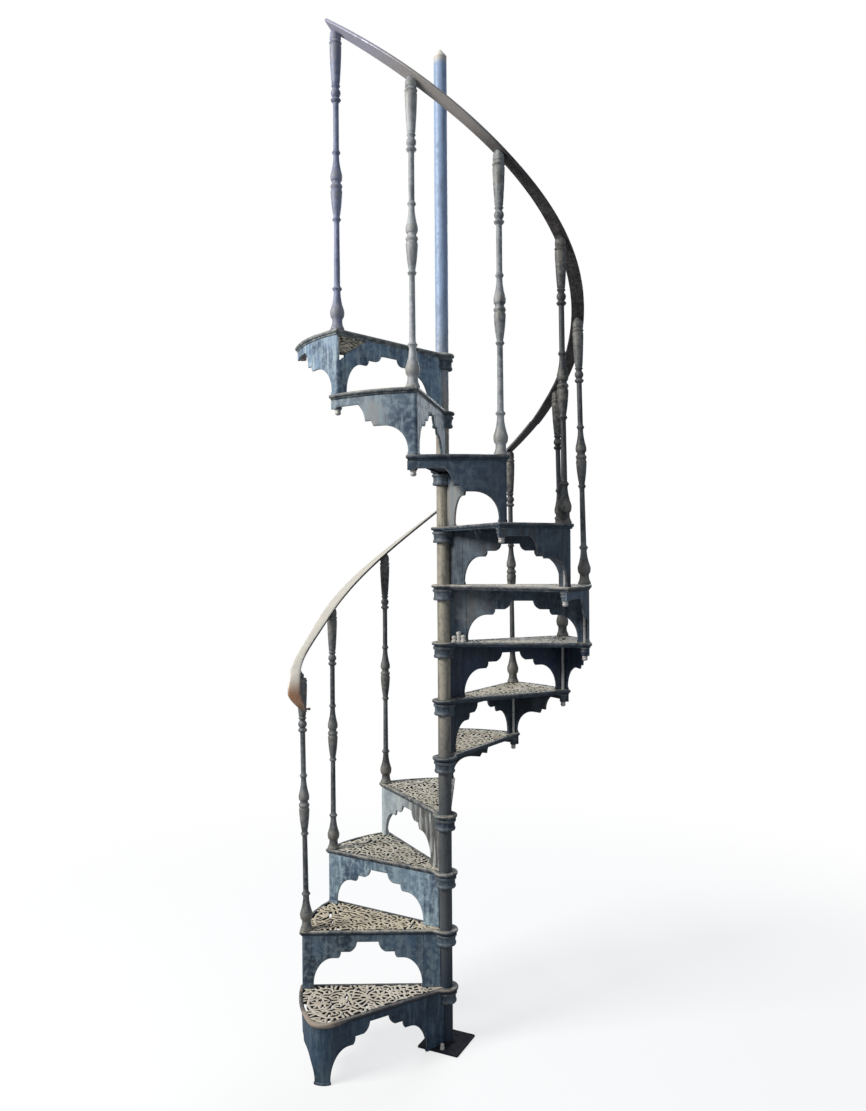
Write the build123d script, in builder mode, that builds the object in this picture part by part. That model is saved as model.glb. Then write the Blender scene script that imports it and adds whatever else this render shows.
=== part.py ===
"""Cast-iron spiral staircase: twelve pierced treads that climb clockwise around a slim centre column.

Every tread is a wedge-shaped casting with a hub ring. Under it stands an L-shaped bracket casting, a riser
panel and an outer string in one piece, each cut with a stepped arch. A turned baluster stands on the leading
corner of each tread from the second up, and its long tie rod holds the tread, the bracket's corner and the
tail of the tread below together. A flat handrail follows the baluster tops.

Units are millimetres and degrees, +Z is up, and the origin is on the column's axis at floor level.
A step's own frame has +X along its riser line, +Y towards its leading edge and Z = 0 on top of its tread.
"""
import os
from math import asin, atan, cos, degrees, radians, sin

from build123d import *

os.makedirs("parts", exist_ok=True)

# ---- Driving dimensions -------------------------------------------------------------------------------
STEPS = 12                 # treads, counted from the floor
RISE = 210.0               # floor to tread, and tread to tread
TURN = 31.3                # plan angle between riser lines; each step up turns clockwise
FIRST_RISER = 212.0        # plan direction of the bottom riser line
FIT = 0.3                  # gap between a casting and the round part that passes through it

COLUMN_RADIUS = 24.0       # centre column, a tube
COLUMN_WALL = 5.0
COLUMN_TOP = 3606.0        # top of the tube, above the floor
CAP_HEIGHT = 30.0          # pointed cap above the tube
CAP_EDGE = 4.0             # its straight rim
CAP_SPIGOT = 25.0          # its length inside the tube
BASE_SIDE = 160.0          # square base plate
BASE_THICK = 7.0
BASE_TURN = 64.0           # plan direction of one pair of its edges

TREAD_RADIUS = 535.0       # outer edge of the treads
NOSE = 21.5                # leading edge, ahead of the riser line
TAIL = 20.0                # trailing edge, behind the next riser line
HUB_RING_WALL = 21.0       # ring of the tread around the column
HUB_BLEND = 34.0           # hollow curve between the tread's edges and its ring
EDGE_THICK = 12.0          # rounded edge moulding
EDGE_ROUND = 4.0
UNDER_THICK = 6.0          # smaller moulding below it
UNDER_STEP = 5.0           # how far that one stands back
WEB_THICK = 7.0            # pierced plate inside the border
BORDER = 13.0              # plain border around the piercing
CORNER_ROUND = 6.0
SWEPT_CORNER = 65.0        # the bottom tread's leading corner is swept round
RING_ACROSS = 60.0         # width aimed at for the rings of the piercing
RING_BAR = 8.0             # width of their bars
ROW_CLOSE = 0.93           # rows of rings stand this much closer than their width, so that they join
PAD_RADIUS = 24.0          # plain pad around a baluster's foot or a tie rod

COLLAR_WALL = 12.0         # collar on the column under each tread
COLLAR_BAND = 9.0          # height of its upper band
COLLAR_DEPTH = 58.0        # its bottom, below the tread's top

WALL = 8.0                 # thickness of riser and string
ROD_CLEARANCE = 1.5        # between a tie rod and the riser behind which it passes
STRING_STEP = 9.0          # the string's outer face stands this far inside the tread's edge
STRING_END = 4.0           # the string stops this short of the trailing edge
BOSS_WALL = 9.0            # tie-rod boss at the string's tail
BOSS_DEPTH = 47.0          # its bottom, below the tread's top

INNER_LEG = 64.0           # the riser's leg at the column
OUTER_LEG = 34.0           # and the one at the string
ARCH_CROWN = 50.0          # crown of the arch between them, below the tread's top
ARCH_LEDGE = 82.0          # its first ledge
ARCH_SHELF = 105.0         # its second ledge, where the quarter curves start
ARCH_STEPS = (39.0, 64.0, 98.0, 107.0, 128.0)    # half widths: crown, ledge in and out, shelf in and out
LEG_FOOT = 12.0            # straight foot of each leg

STRING_LEG = 35.0          # width of the string's leg, from the leading edge
STRING_SHELF = (0.363, 0.465, 115.0)    # its lower ledge: from and to, as parts of the string's length, depth
STRING_LEDGE = (0.492, 0.560, 98.0)     # its upper ledge
STRING_CROWN = (0.646, 0.892, 43.0)     # its crown
STRING_TAIL = 0.935                     # where its opening meets the boss

ROD_RADIUS = 6.0           # tie rods
ROD_GRIP = 12.0            # rod inside its nut
NUT_WALL = 4.0
NUT_BAND = 9.0             # straight part of the nut, above its domed end
BALUSTER_INSET = 25.0      # balusters stand this far inside the treads' outer edge
BALUSTER_HEIGHT = 950.0
BALUSTER_MIDDLE = 456.0    # height of the ring at mid height

RAIL_WIDTH = 45.0          # handrail, a flat bar
RAIL_THICK = 11.0
RAIL_SEAT = 0.5            # gap between a baluster's cut top and the bar
RAIL_OVERRUN = 3.1         # angle that it runs on past the top baluster
RAIL_CLEARANCE = 2.0       # between the free lower end and the head of the baluster that it missed
RAIL_CURL_RUN = 62.0       # plan length of the curled end
RAIL_CURL_DROP = 150.0     # how far that end curls down
RAIL_TIP = 14.0            # width of its tip
RAIL_STATION = 6.0         # angle between the sections that it is lofted through
CURL_STATIONS = 8

BREAK_RUN = 125.0          # the top riser's broken corner: its length under the tread
BREAK_DEPTH = 103.0        # and where it ends at the string, below the tread's top

# Turnings of a baluster: (height, radius, swell of the curve that leads up to it).
FOOT_TURNINGS = [(0, 23, 0), (5, 23, 0), (8, 21.5, 0), (29, 16.5, -1.5), (35, 16.5, 0), (50, 22.8, 2), (63, 22.5, 0.8),
                 (122, 11, -2.5), (126, 13, 0), (136, 13, 3.5), (140, 10.2, 0)]
MIDDLE_TURNINGS = [(-114, 9, 0), (-110, 11, 0), (-99, 11, 3.7), (-95, 10.5, 0), (-24, 18.6, 1.2), (-12, 18, 1),
                   (-9, 16.5, 0), (-6, 17.5, 0), (6, 17.5, 2.5), (9, 14.4, 0), (16, 14.4, 0), (23, 19, 1),
                   (38, 18.8, 0.6), (99, 9.3, -2), (102, 11, 0), (113, 11, 3), (117, 9.3, 0)]
HEAD_TURNINGS = [(228, 9.3, 0), (225, 13.5, 0), (214, 13.5, 3.5), (211, 10, 0), (184, 10, 6), (180, 11.5, 0),
                 (170, 11.5, 3.2), (166, 13.4, 0), (50, 19.4, 0.8), (45, 17.5, 0), (33, 17.5, 3.2),
                 (30, 17.5, 0), (-20, 17.5, 0)]

# ---- Worked-out dimensions ----------------------------------------------------------------------------
TREAD_DEPTH = EDGE_THICK + UNDER_THICK
BORE = COLUMN_RADIUS + FIT
HUB_RING_RADIUS = COLUMN_RADIUS + HUB_RING_WALL
COLLAR_RADIUS = COLUMN_RADIUS + COLLAR_WALL
COLLAR_BAND_RADIUS = HUB_RING_RADIUS - UNDER_STEP
ROD_HOLE = ROD_RADIUS + FIT
BOSS_RADIUS = ROD_RADIUS + BOSS_WALL
NUT_RADIUS = ROD_RADIUS + NUT_WALL
RISER_BACK = ROD_RADIUS + ROD_CLEARANCE                         # from the riser line
RISER_FRONT = RISER_BACK + WALL
STRING_RADIUS = TREAD_RADIUS - STRING_STEP
STRING_SWEEP = radians(TURN) + asin(NOSE / STRING_RADIUS) + asin((TAIL - STRING_END) / STRING_RADIUS)
STRING_LENGTH = STRING_RADIUS * STRING_SWEEP
ARCH_IN = COLUMN_RADIUS + INNER_LEG
ARCH_OUT = STRING_RADIUS - WALL - OUTER_LEG
ARCH_HALF = (ARCH_OUT - ARCH_IN) / 2
BALUSTER_CIRCLE = TREAD_RADIUS - BALUSTER_INSET
REACH = 1.3 * TREAD_RADIUS                                      # construction lines run past the outer edge
TAIL_ALONG = Vector(cos(radians(TURN)), -sin(radians(TURN)))    # along the next riser line
TAIL_ACROSS = Vector(sin(radians(TURN)), cos(radians(TURN)))    # square to it, towards the tread
BOSS_CENTRE = TAIL_ALONG * BALUSTER_CIRCLE
RAIL_SLOPE = RISE / (BALUSTER_CIRCLE * radians(TURN))
RAIL_FLARE = HEAD_TURNINGS[-1][1] + RAIL_WIDTH / 2 + RAIL_CLEARANCE
RAIL_LIFT = BALUSTER_HEIGHT + RAIL_SEAT + RAIL_THICK / 2 / cos(atan(RAIL_SLOPE))


def step_location(number):
    """Place of a step's own frame: turned to its riser line and lifted to the top of its tread."""
    return Location((0, 0, number * RISE), (0, 0, FIRST_RISER - (number - 1) * TURN))


def save(part, name):
    """Label a finished piece and write it."""
    part.label = name
    export_step(part, f"parts/{name}.step")


# ---- Treads -------------------------------------------------------------------------------------------
def wedge(lead, tail):
    """Corners of the wedge between a line ahead of the riser line and one behind the next riser line."""
    near = TAIL_ACROSS * -tail
    far = near + TAIL_ALONG * REACH
    return [(0, lead), (REACH, lead), (far.X, far.Y), (near.X, near.Y)]


def corners_at(sketch, radius):
    """Corners of a sketch at one distance from the axis, the leading one first."""
    found = [v for v in sketch.vertices() if abs(Vector(v.X, v.Y).length - radius) < 0.01]
    return sorted(found, key=lambda v: -v.Y)


def tread_outline(inset, swept):
    """Plan of a tread, drawn in by an inset: wedge, outer arc and hub ring with hollow blends."""
    outer, ring = TREAD_RADIUS - inset, HUB_RING_RADIUS - inset
    with BuildSketch() as outline:
        with BuildLine():
            Polyline(*wedge(NOSE - inset, TAIL - inset), close=True)
        make_face()
        Circle(outer, mode=Mode.INTERSECT)
        fillet(corners_at(outline, outer)[0], SWEPT_CORNER - inset if swept else CORNER_ROUND)
        fillet(corners_at(outline, outer)[-1], CORNER_ROUND)
        Circle(ring)
        fillet(corners_at(outline, ring), HUB_BLEND + inset)
    return outline.sketch


def tread_panel(swept):
    """Area inside the border: recessed below and pierced, with plain pads around the rods."""
    outer = TREAD_RADIUS - BORDER
    with BuildSketch() as panel:
        with BuildLine():
            Polyline(*wedge(NOSE - BORDER, TAIL - BORDER), close=True)
        make_face()
        Circle(outer, mode=Mode.INTERSECT)
        if swept:
            fillet(corners_at(panel, outer)[0], SWEPT_CORNER - BORDER)
        Circle(HUB_RING_RADIUS + BORDER, mode=Mode.SUBTRACT)
        pads = [(BOSS_CENTRE.X, BOSS_CENTRE.Y)]
        if not swept:
            pads.append((BALUSTER_CIRCLE, 0))
        with Locations(*pads):
            Circle(PAD_RADIUS, mode=Mode.SUBTRACT)
    return panel.sketch


def ring_rows():
    """Rows of touching rings across the panel: (distance from the axis, ring radius, plan angles)."""
    lead, tail = NOSE - BORDER, TAIL - BORDER
    rows = []
    distance = HUB_RING_RADIUS + BORDER + RING_ACROSS / 2
    while distance < TREAD_RADIUS:
        width = radians(TURN) * distance + lead + tail
        count = max(1, round(width / RING_ACROSS))
        ring = width / count / 2
        first = degrees(asin(lead / distance))
        sweep = TURN + first + degrees(asin(tail / distance))
        rows.append((distance, ring, [first - sweep * (i + 0.5) / count for i in range(count)]))
        distance += 2 * ring * ROW_CLOSE
    return rows


def tread_piercing(panel):
    """Holes of the pierced plate: what the bars of the rings leave open."""
    with BuildSketch() as holes:
        add(panel)
        for distance, ring, angles in ring_rows():
            with BuildSketch(mode=Mode.PRIVATE) as bar:
                Circle(ring + 0.6 * RING_BAR)
                Circle(ring - 0.4 * RING_BAR, mode=Mode.SUBTRACT)
            with Locations(*[Vector(distance, 0).rotate(Axis.Z, angle) for angle in angles]):
                add(bar.sketch, mode=Mode.SUBTRACT)
    return holes.sketch


def make_tread(swept):
    """One tread in its step's own frame. The swept one is the bottom tread, which has no baluster."""
    panel = tread_panel(swept)
    with BuildPart() as tread:
        with BuildSketch():
            add(tread_outline(0, swept))
        extrude(amount=-EDGE_THICK)
        rims = [face.outer_wire().edges() for face in tread.faces().filter_by(Axis.Z)]
        fillet([edge for rim in rims for edge in rim], EDGE_ROUND)
        with BuildSketch(Plane.XY.offset(-EDGE_THICK)):
            add(tread_outline(UNDER_STEP, swept))
        extrude(amount=-UNDER_THICK)
        with BuildSketch(Plane.XY.offset(-WEB_THICK)):
            add(panel)
        extrude(amount=-TREAD_DEPTH, mode=Mode.SUBTRACT)
        with BuildSketch():
            add(tread_piercing(panel))
        extrude(amount=-TREAD_DEPTH, mode=Mode.SUBTRACT)
        with BuildSketch():
            Circle(BORE)
            with Locations((BOSS_CENTRE.X, BOSS_CENTRE.Y)):
                Circle(ROD_HOLE)
            if not swept:
                with Locations((BALUSTER_CIRCLE, 0)):
                    Circle(ROD_HOLE)
        extrude(amount=-TREAD_DEPTH, mode=Mode.SUBTRACT)
    return tread.part


# ---- Brackets -----------------------------------------------------------------------------------------
def arch_profile():
    """Opening of the riser's arch: crown, two ledges and quarter curves, mirrored about its middle."""
    crown, ledge_in, ledge_out, shelf_in, shelf_out = ARCH_STEPS
    spring = RISE - LEG_FOOT
    with BuildSketch() as arch:
        with BuildLine():
            Line((0, -ARCH_CROWN), (crown, -ARCH_CROWN))
            SagittaArc((crown, -ARCH_CROWN), (ledge_in, -ARCH_LEDGE), -6)
            Line((ledge_in, -ARCH_LEDGE), (ledge_out, -ARCH_LEDGE))
            SagittaArc((ledge_out, -ARCH_LEDGE), (shelf_in, -ARCH_SHELF), -3)
            Line((shelf_in, -ARCH_SHELF), (shelf_out, -ARCH_SHELF))
            EllipticalCenterArc((shelf_out, -spring), ARCH_HALF - shelf_out, spring - ARCH_SHELF, arc_size=90)
            Polyline((ARCH_HALF, -spring), (ARCH_HALF, -RISE - 1), (0, -RISE - 1), (0, -ARCH_CROWN))
        make_face()
        mirror(about=Plane.YZ)
    return arch.sketch


def string_angle(run):
    """Plan angle of a point on the string's outer face, at an arc length from the leading edge."""
    return asin(NOSE / STRING_RADIUS) - run / STRING_RADIUS


STRING_MIDDLE = string_angle((STRING_LEG + STRING_CROWN[1] * STRING_LENGTH) / 2)


def string_profile():
    """Opening under the string, seen square to the string's middle: X along it, Y up."""
    def at(part, depth):
        angle = string_angle(part * STRING_LENGTH)
        return STRING_RADIUS * sin(angle - STRING_MIDDLE), -depth

    leg = STRING_LEG / STRING_LENGTH
    shelf_in, shelf_out, shelf = STRING_SHELF
    ledge_in, ledge_out, ledge = STRING_LEDGE
    crown_in, crown_out, crown = STRING_CROWN
    with BuildSketch() as opening:
        with BuildLine():
            Line(at(leg, RISE + 1), at(leg, RISE - LEG_FOOT))
            Spline(at(leg, RISE - LEG_FOOT), at(shelf_in, shelf), tangents=[(0, 1), (-1, 0)])
            Polyline(at(shelf_in, shelf), at(shelf_out, shelf), at(ledge_in, ledge), at(ledge_out, ledge))
            SagittaArc(at(ledge_out, ledge), at(crown_in, crown), 7)
            Line(at(crown_in, crown), at(crown_out, crown))
            SagittaArc(at(crown_out, crown), at(STRING_TAIL, BOSS_DEPTH), 0.8)
            Polyline(at(STRING_TAIL, BOSS_DEPTH), at(1.2, BOSS_DEPTH), at(1.2, RISE + 1), at(leg, RISE + 1))
        make_face()
    return opening.sketch


def string_opening():
    """What is cut out of the string: its profile run through a ring that holds it, swept corner and all."""
    outward = Vector(cos(STRING_MIDDLE), sin(STRING_MIDDLE), 0)
    across = Vector(-sin(STRING_MIDDLE), cos(STRING_MIDDLE), 0)
    with BuildPart() as opening:
        with BuildSketch(Plane(outward * (STRING_RADIUS / 2), across, outward)):
            add(string_profile())
        extrude(amount=STRING_RADIUS)
        with BuildSketch(Plane.XY.offset(-RISE - 1)):
            Circle(STRING_RADIUS + WALL)
            Circle(STRING_RADIUS - 5 * WALL, mode=Mode.SUBTRACT)
        extrude(amount=RISE + 1, mode=Mode.INTERSECT)
    return opening.part


def wall_plan(swept):
    """Plan of the bracket's walls: riser along the leading edge, string around the outer arc."""
    def area(lead, tail, outer, corner):
        with BuildSketch(mode=Mode.PRIVATE) as shape:
            with BuildLine():
                Polyline(*wedge(lead, tail), close=True)
            make_face()
            Circle(outer, mode=Mode.INTERSECT)
            if swept:
                fillet(corners_at(shape, outer)[0], corner)
        return shape.sketch

    corner = SWEPT_CORNER - (TREAD_RADIUS - STRING_RADIUS)
    with BuildSketch() as plan:
        add(area(RISER_FRONT, TAIL - STRING_END, STRING_RADIUS, corner))
        add(area(RISER_BACK, TAIL, STRING_RADIUS - WALL, corner - WALL), mode=Mode.SUBTRACT)
    return plan.sketch


def make_bracket(number):
    """A step's bracket in its own frame, standing on the tread below or, for the first, on the floor."""
    with BuildPart() as bracket:
        with BuildSketch(Plane.XY.offset(-RISE)):
            add(wall_plan(number == 1))
        extrude(amount=RISE - TREAD_DEPTH)
        with BuildSketch(Plane.XZ.offset(-RISER_FRONT - WALL)):
            with Locations(((ARCH_IN + ARCH_OUT) / 2, 0)):
                add(arch_profile())
        extrude(amount=RISER_FRONT + WALL, mode=Mode.SUBTRACT)
        add(string_opening(), mode=Mode.SUBTRACT)
        with BuildSketch(Plane.XY.offset(-BOSS_DEPTH)):
            with Locations((BOSS_CENTRE.X, BOSS_CENTRE.Y)):
                Circle(BOSS_RADIUS)
        extrude(amount=BOSS_DEPTH - TREAD_DEPTH)
        with BuildSketch(Plane.XY.offset(-BOSS_DEPTH)):
            with Locations((BOSS_CENTRE.X, BOSS_CENTRE.Y)):
                Circle(ROD_HOLE)
        extrude(amount=BOSS_DEPTH - TREAD_DEPTH, mode=Mode.SUBTRACT)
        with BuildSketch(Plane.XY.offset(-RISE)):
            Circle(BORE)
        extrude(amount=RISE, mode=Mode.SUBTRACT)
        with BuildSketch(Plane.XY.offset(-COLLAR_DEPTH - FIT)):
            Circle(COLLAR_BAND_RADIUS + FIT)
        extrude(amount=COLLAR_DEPTH, mode=Mode.SUBTRACT)
        if number == 1:
            with BuildSketch(Plane.XY.offset(-RISE)):
                Rectangle(BASE_SIDE, BASE_SIDE, rotation=BASE_TURN - FIRST_RISER)
            extrude(amount=BASE_THICK, mode=Mode.SUBTRACT)
        if number == STEPS:
            with BuildSketch(Plane.XZ.offset(-RISER_FRONT - WALL)):
                with BuildLine():
                    Polyline((STRING_RADIUS - WALL - BREAK_RUN, -TREAD_DEPTH),
                             (STRING_RADIUS - WALL, -TREAD_DEPTH), (STRING_RADIUS - WALL, -BREAK_DEPTH),
                             close=True)
                make_face()
            extrude(amount=RISER_FRONT + WALL, mode=Mode.SUBTRACT)
    return bracket.part


# ---- Column, collars and base -------------------------------------------------------------------------
def make_column():
    """Tube that stands on the base plate."""
    with BuildPart() as column:
        with BuildSketch(Plane.XY.offset(BASE_THICK)):
            Circle(COLUMN_RADIUS)
            Circle(COLUMN_RADIUS - COLUMN_WALL, mode=Mode.SUBTRACT)
        extrude(amount=COLUMN_TOP - BASE_THICK)
    return column.part


def make_cap():
    """Pointed cap on the column, with a spigot inside the tube."""
    spigot = COLUMN_RADIUS - COLUMN_WALL - FIT
    with BuildPart() as cap:
        with BuildSketch(Plane.XZ):
            with BuildLine():
                Polyline((0, COLUMN_TOP + CAP_HEIGHT), (0, COLUMN_TOP - CAP_SPIGOT),
                         (spigot, COLUMN_TOP - CAP_SPIGOT), (spigot, COLUMN_TOP), (COLUMN_RADIUS, COLUMN_TOP),
                         (COLUMN_RADIUS, COLUMN_TOP + CAP_EDGE), (0, COLUMN_TOP + CAP_HEIGHT))
            make_face()
        revolve(axis=Axis.Z)
    return cap.part


def make_base():
    """Square plate under the column."""
    with BuildPart() as base:
        with BuildSketch():
            Rectangle(BASE_SIDE, BASE_SIDE, rotation=BASE_TURN)
        extrude(amount=BASE_THICK)
    return base.part


def make_collars():
    """Stepped collars that grip the column under the treads, each a solid of its own."""
    with BuildPart() as collars:
        for number in range(1, STEPS + 1):
            top = number * RISE - TREAD_DEPTH
            bottom = number * RISE - COLLAR_DEPTH
            with BuildSketch(Plane.XY.offset(bottom)):
                Circle(COLLAR_RADIUS)
                Circle(BORE, mode=Mode.SUBTRACT)
            extrude(amount=top - bottom)
            with BuildSketch(Plane.XY.offset(top - COLLAR_BAND)):
                Circle(COLLAR_BAND_RADIUS)
                Circle(COLLAR_RADIUS, mode=Mode.SUBTRACT)
            extrude(amount=COLLAR_BAND)
    return collars.part


# ---- Balusters and rod nuts ---------------------------------------------------------------------------
def make_baluster():
    """Turned baluster in its step's own frame, with its tie rod below and its top cut to the rail's slope."""
    turnings = [(height, radius, swell) for height, radius, swell in FOOT_TURNINGS]
    turnings += [(BALUSTER_MIDDLE + height, radius, swell) for height, radius, swell in MIDDLE_TURNINGS]
    turnings += [(BALUSTER_HEIGHT - drop, radius, swell) for drop, radius, swell in HEAD_TURNINGS]
    rod_end = -(RISE + BOSS_DEPTH + ROD_GRIP)
    with BuildPart() as baluster:
        with BuildSketch(Plane.XZ):
            with BuildLine():
                Polyline((0, turnings[-1][0]), (0, rod_end), (ROD_RADIUS, rod_end), (ROD_RADIUS, 0),
                         (turnings[0][1], 0))
                for (low, inner, _), (high, outer, swell) in zip(turnings, turnings[1:]):
                    if swell:
                        SagittaArc((inner, low), (outer, high), -swell)
                    else:
                        Line((inner, low), (outer, high))
                Line((turnings[-1][1], turnings[-1][0]), (0, turnings[-1][0]))
            make_face()
        revolve(axis=Axis.Z)
        square_to_rail = Vector(0, sin(atan(RAIL_SLOPE)), cos(atan(RAIL_SLOPE)))
        split(bisect_by=Plane((0, 0, BALUSTER_HEIGHT), (1, 0, 0), square_to_rail), keep=Keep.BOTTOM)
    return baluster.part


def make_nut():
    """Domed nut of a tie rod, hanging from Z = 0."""
    with BuildPart() as nut:
        with BuildSketch(Plane.XZ):
            with BuildLine():
                Polyline((0, -ROD_GRIP - FIT), (ROD_HOLE, -ROD_GRIP - FIT), (ROD_HOLE, 0), (NUT_RADIUS, 0),
                         (NUT_RADIUS, -NUT_BAND))
                CenterArc((0, -NUT_BAND), NUT_RADIUS, 270, 90)
                Line((0, -NUT_BAND - NUT_RADIUS), (0, -ROD_GRIP - FIT))
            make_face()
        revolve(axis=Axis.Z)
    return nut.part


# ---- Handrail -----------------------------------------------------------------------------------------
def rail_stations():
    """Centre line of the rail from its curled tip up: (point, width, shift of its middle towards the axis)."""
    def place(step, radius, height):
        angle = radians(FIRST_RISER - (step - 1) * TURN)
        return Vector(radius * cos(angle), radius * sin(angle), height)

    stations = []
    free = BALUSTER_CIRCLE + RAIL_FLARE
    knee = 0.75 * RAIL_CURL_RUN
    for i in range(CURL_STATIONS):
        t = 1 - i / CURL_STATIONS
        run = 2 * t * (1 - t) * knee + t * t * RAIL_CURL_RUN
        drop = 2 * t * (1 - t) * knee * RAIL_SLOPE + t * t * RAIL_CURL_DROP
        width = RAIL_WIDTH - (RAIL_WIDTH - RAIL_TIP) * max(0, 1 - 3.2 * (1 - t)) ** 2
        step = 2 - degrees(run / free) / TURN
        stations.append((place(step, free, 2 * RISE + RAIL_LIFT - drop), width, (RAIL_WIDTH - width) / 2))
    last = STEPS + RAIL_OVERRUN / TURN
    count = round((last - 2) * TURN / RAIL_STATION)
    for i in range(count + 1):
        step = 2 + (last - 2) * i / count
        spring = max(0, 3 - step)
        radius = BALUSTER_CIRCLE + RAIL_FLARE * spring * spring * (3 - 2 * spring)
        stations.append((place(step, radius, step * RISE + RAIL_LIFT), RAIL_WIDTH, 0))
    return stations


def make_rail():
    """Flat bar lofted through sections that stand square to its path and stay level across."""
    stations = rail_stations()
    points = [point for point, _, _ in stations]
    with BuildPart() as rail:
        for i, (point, width, shift) in enumerate(stations):
            along = points[min(i + 1, len(points) - 1)] - points[max(i - 1, 0)]
            inward = Vector(-point.X, -point.Y, 0).normalized()
            across = (inward - along * (inward.dot(along) / along.dot(along))).normalized()
            with BuildSketch(Plane(point + across * shift, across, along.normalized())):
                Rectangle(width, RAIL_THICK)
        loft(ruled=True)
    return rail.part


# ---- The pieces ---------------------------------------------------------------------------------------
save(make_base(), "base_plate")
save(make_column(), "centre_column")
save(make_cap(), "column_cap")
save(make_collars(), "hub_collars")

swept_tread = make_tread(swept=True)
plain_tread = make_tread(swept=False)
plain_bracket = make_bracket(2)
turned_baluster = make_baluster()
rod_nut = make_nut()

for number in range(1, STEPS + 1):
    with BuildPart() as tread:
        with Locations(step_location(number)):
            add(swept_tread if number == 1 else plain_tread)
    save(tread.part, f"tread_{number:02d}")
    with BuildPart() as bracket:
        with Locations(step_location(number)):
            add(make_bracket(number) if number in (1, STEPS) else plain_bracket)
    save(bracket.part, f"bracket_{number:02d}")

for number in range(2, STEPS + 1):
    with BuildPart() as baluster:
        with Locations(step_location(number) * Location((BALUSTER_CIRCLE, 0, 0))):
            add(turned_baluster)
    save(baluster.part, f"baluster_{number:02d}")

with BuildPart() as nuts:
    for number in range(1, STEPS):
        with Locations(step_location(number) * Location((BOSS_CENTRE.X, BOSS_CENTRE.Y, -BOSS_DEPTH))):
            add(rod_nut)
save(nuts.part, "rod_nuts")
save(make_rail(), "handrail")
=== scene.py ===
"""Looks of a cast-iron spiral staircase: pierced treads, stepped brackets, turned balusters and a flat rail.

Lengths are in millimetres until put_up makes an object, and angles are in radians. A step's own frame has +X
along its riser line, +Y towards its leading edge and Z = 0 on top of its tread, and StairLayout.place carries
points from there to the stair. Finishes work in metres, as Object coordinates do.
"""
import logging
import math
from dataclasses import dataclass, field
from enum import Enum
from typing import Callable, ClassVar, Sequence

import bpy
import numpy as np
from mathutils import Matrix, Vector


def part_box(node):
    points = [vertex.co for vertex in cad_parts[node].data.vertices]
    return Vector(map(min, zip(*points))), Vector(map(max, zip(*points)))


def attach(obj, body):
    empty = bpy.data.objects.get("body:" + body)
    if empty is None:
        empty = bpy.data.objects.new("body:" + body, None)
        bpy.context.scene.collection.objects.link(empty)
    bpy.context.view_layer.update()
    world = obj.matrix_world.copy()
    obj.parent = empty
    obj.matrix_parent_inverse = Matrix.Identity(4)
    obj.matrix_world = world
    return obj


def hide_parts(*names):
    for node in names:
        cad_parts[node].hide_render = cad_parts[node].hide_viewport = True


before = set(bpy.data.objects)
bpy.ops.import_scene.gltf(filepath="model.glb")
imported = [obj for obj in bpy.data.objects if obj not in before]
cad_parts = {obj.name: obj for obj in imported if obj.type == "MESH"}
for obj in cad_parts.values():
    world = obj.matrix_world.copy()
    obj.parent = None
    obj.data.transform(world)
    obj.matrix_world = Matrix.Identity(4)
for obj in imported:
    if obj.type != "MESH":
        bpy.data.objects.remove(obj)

log = logging.getLogger("staircase")
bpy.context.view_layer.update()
MM = 0.001
# Edges that turn by more than this stay sharp.
SHARP = math.radians(38)
# Radius of the ends of a turned profile, just off its axis.
THIN = 0.01
Pair = tuple[float, float]
Triple = tuple[float, float, float]
Socket = bpy.types.NodeSocket


# ---- Surfaces -----------------------------------------------------------------------------------------
@dataclass
class Shell:
    """A closed surface.

    Attributes:
        points: One row of x, y, z for each point.
        faces: One row of four corners for each face. A triangle repeats its third corner.
        wear: How bare knocks and feet have left each point, from 0 to 1.
    """

    points: np.ndarray
    faces: np.ndarray
    wear: np.ndarray

    def at(self, points: np.ndarray) -> "Shell":
        """The same faces and wear on other points."""
        return Shell(points, self.faces, self.wear)

    def lifted(self, height: float) -> "Shell":
        """A copy that stands higher."""
        return self.at(self.points + [0, 0, height])

    def outwards(self) -> "Shell":
        """Turns the faces round if they enclose a negative volume, so that they point outwards.

        Returns:
            The shell itself.
        """
        a, b, c, d = (self.points[self.faces[:, i]] for i in range(4))
        if np.sum(a * np.cross(b, c)) + np.sum(a * np.cross(c, d)) < 0:
            triangle = self.faces[:, 2] == self.faces[:, 3]
            flipped = self.faces[:, ::-1].copy()
            flipped[triangle] = self.faces[triangle][:, [1, 0, 2, 2]]
            self.faces = flipped
        return self


def joined(shells: Sequence[Shell]) -> Shell:
    """Puts several shells into one.

    Args:
        shells: The shells.

    Returns:
        A shell with all their points and faces.
    """
    starts = np.cumsum([0] + [len(shell.points) for shell in shells[:-1]])
    return Shell(np.concatenate([shell.points for shell in shells]),
                 np.concatenate([shell.faces + start for shell, start in zip(shells, starts)]),
                 np.concatenate([shell.wear for shell in shells]))


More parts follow.
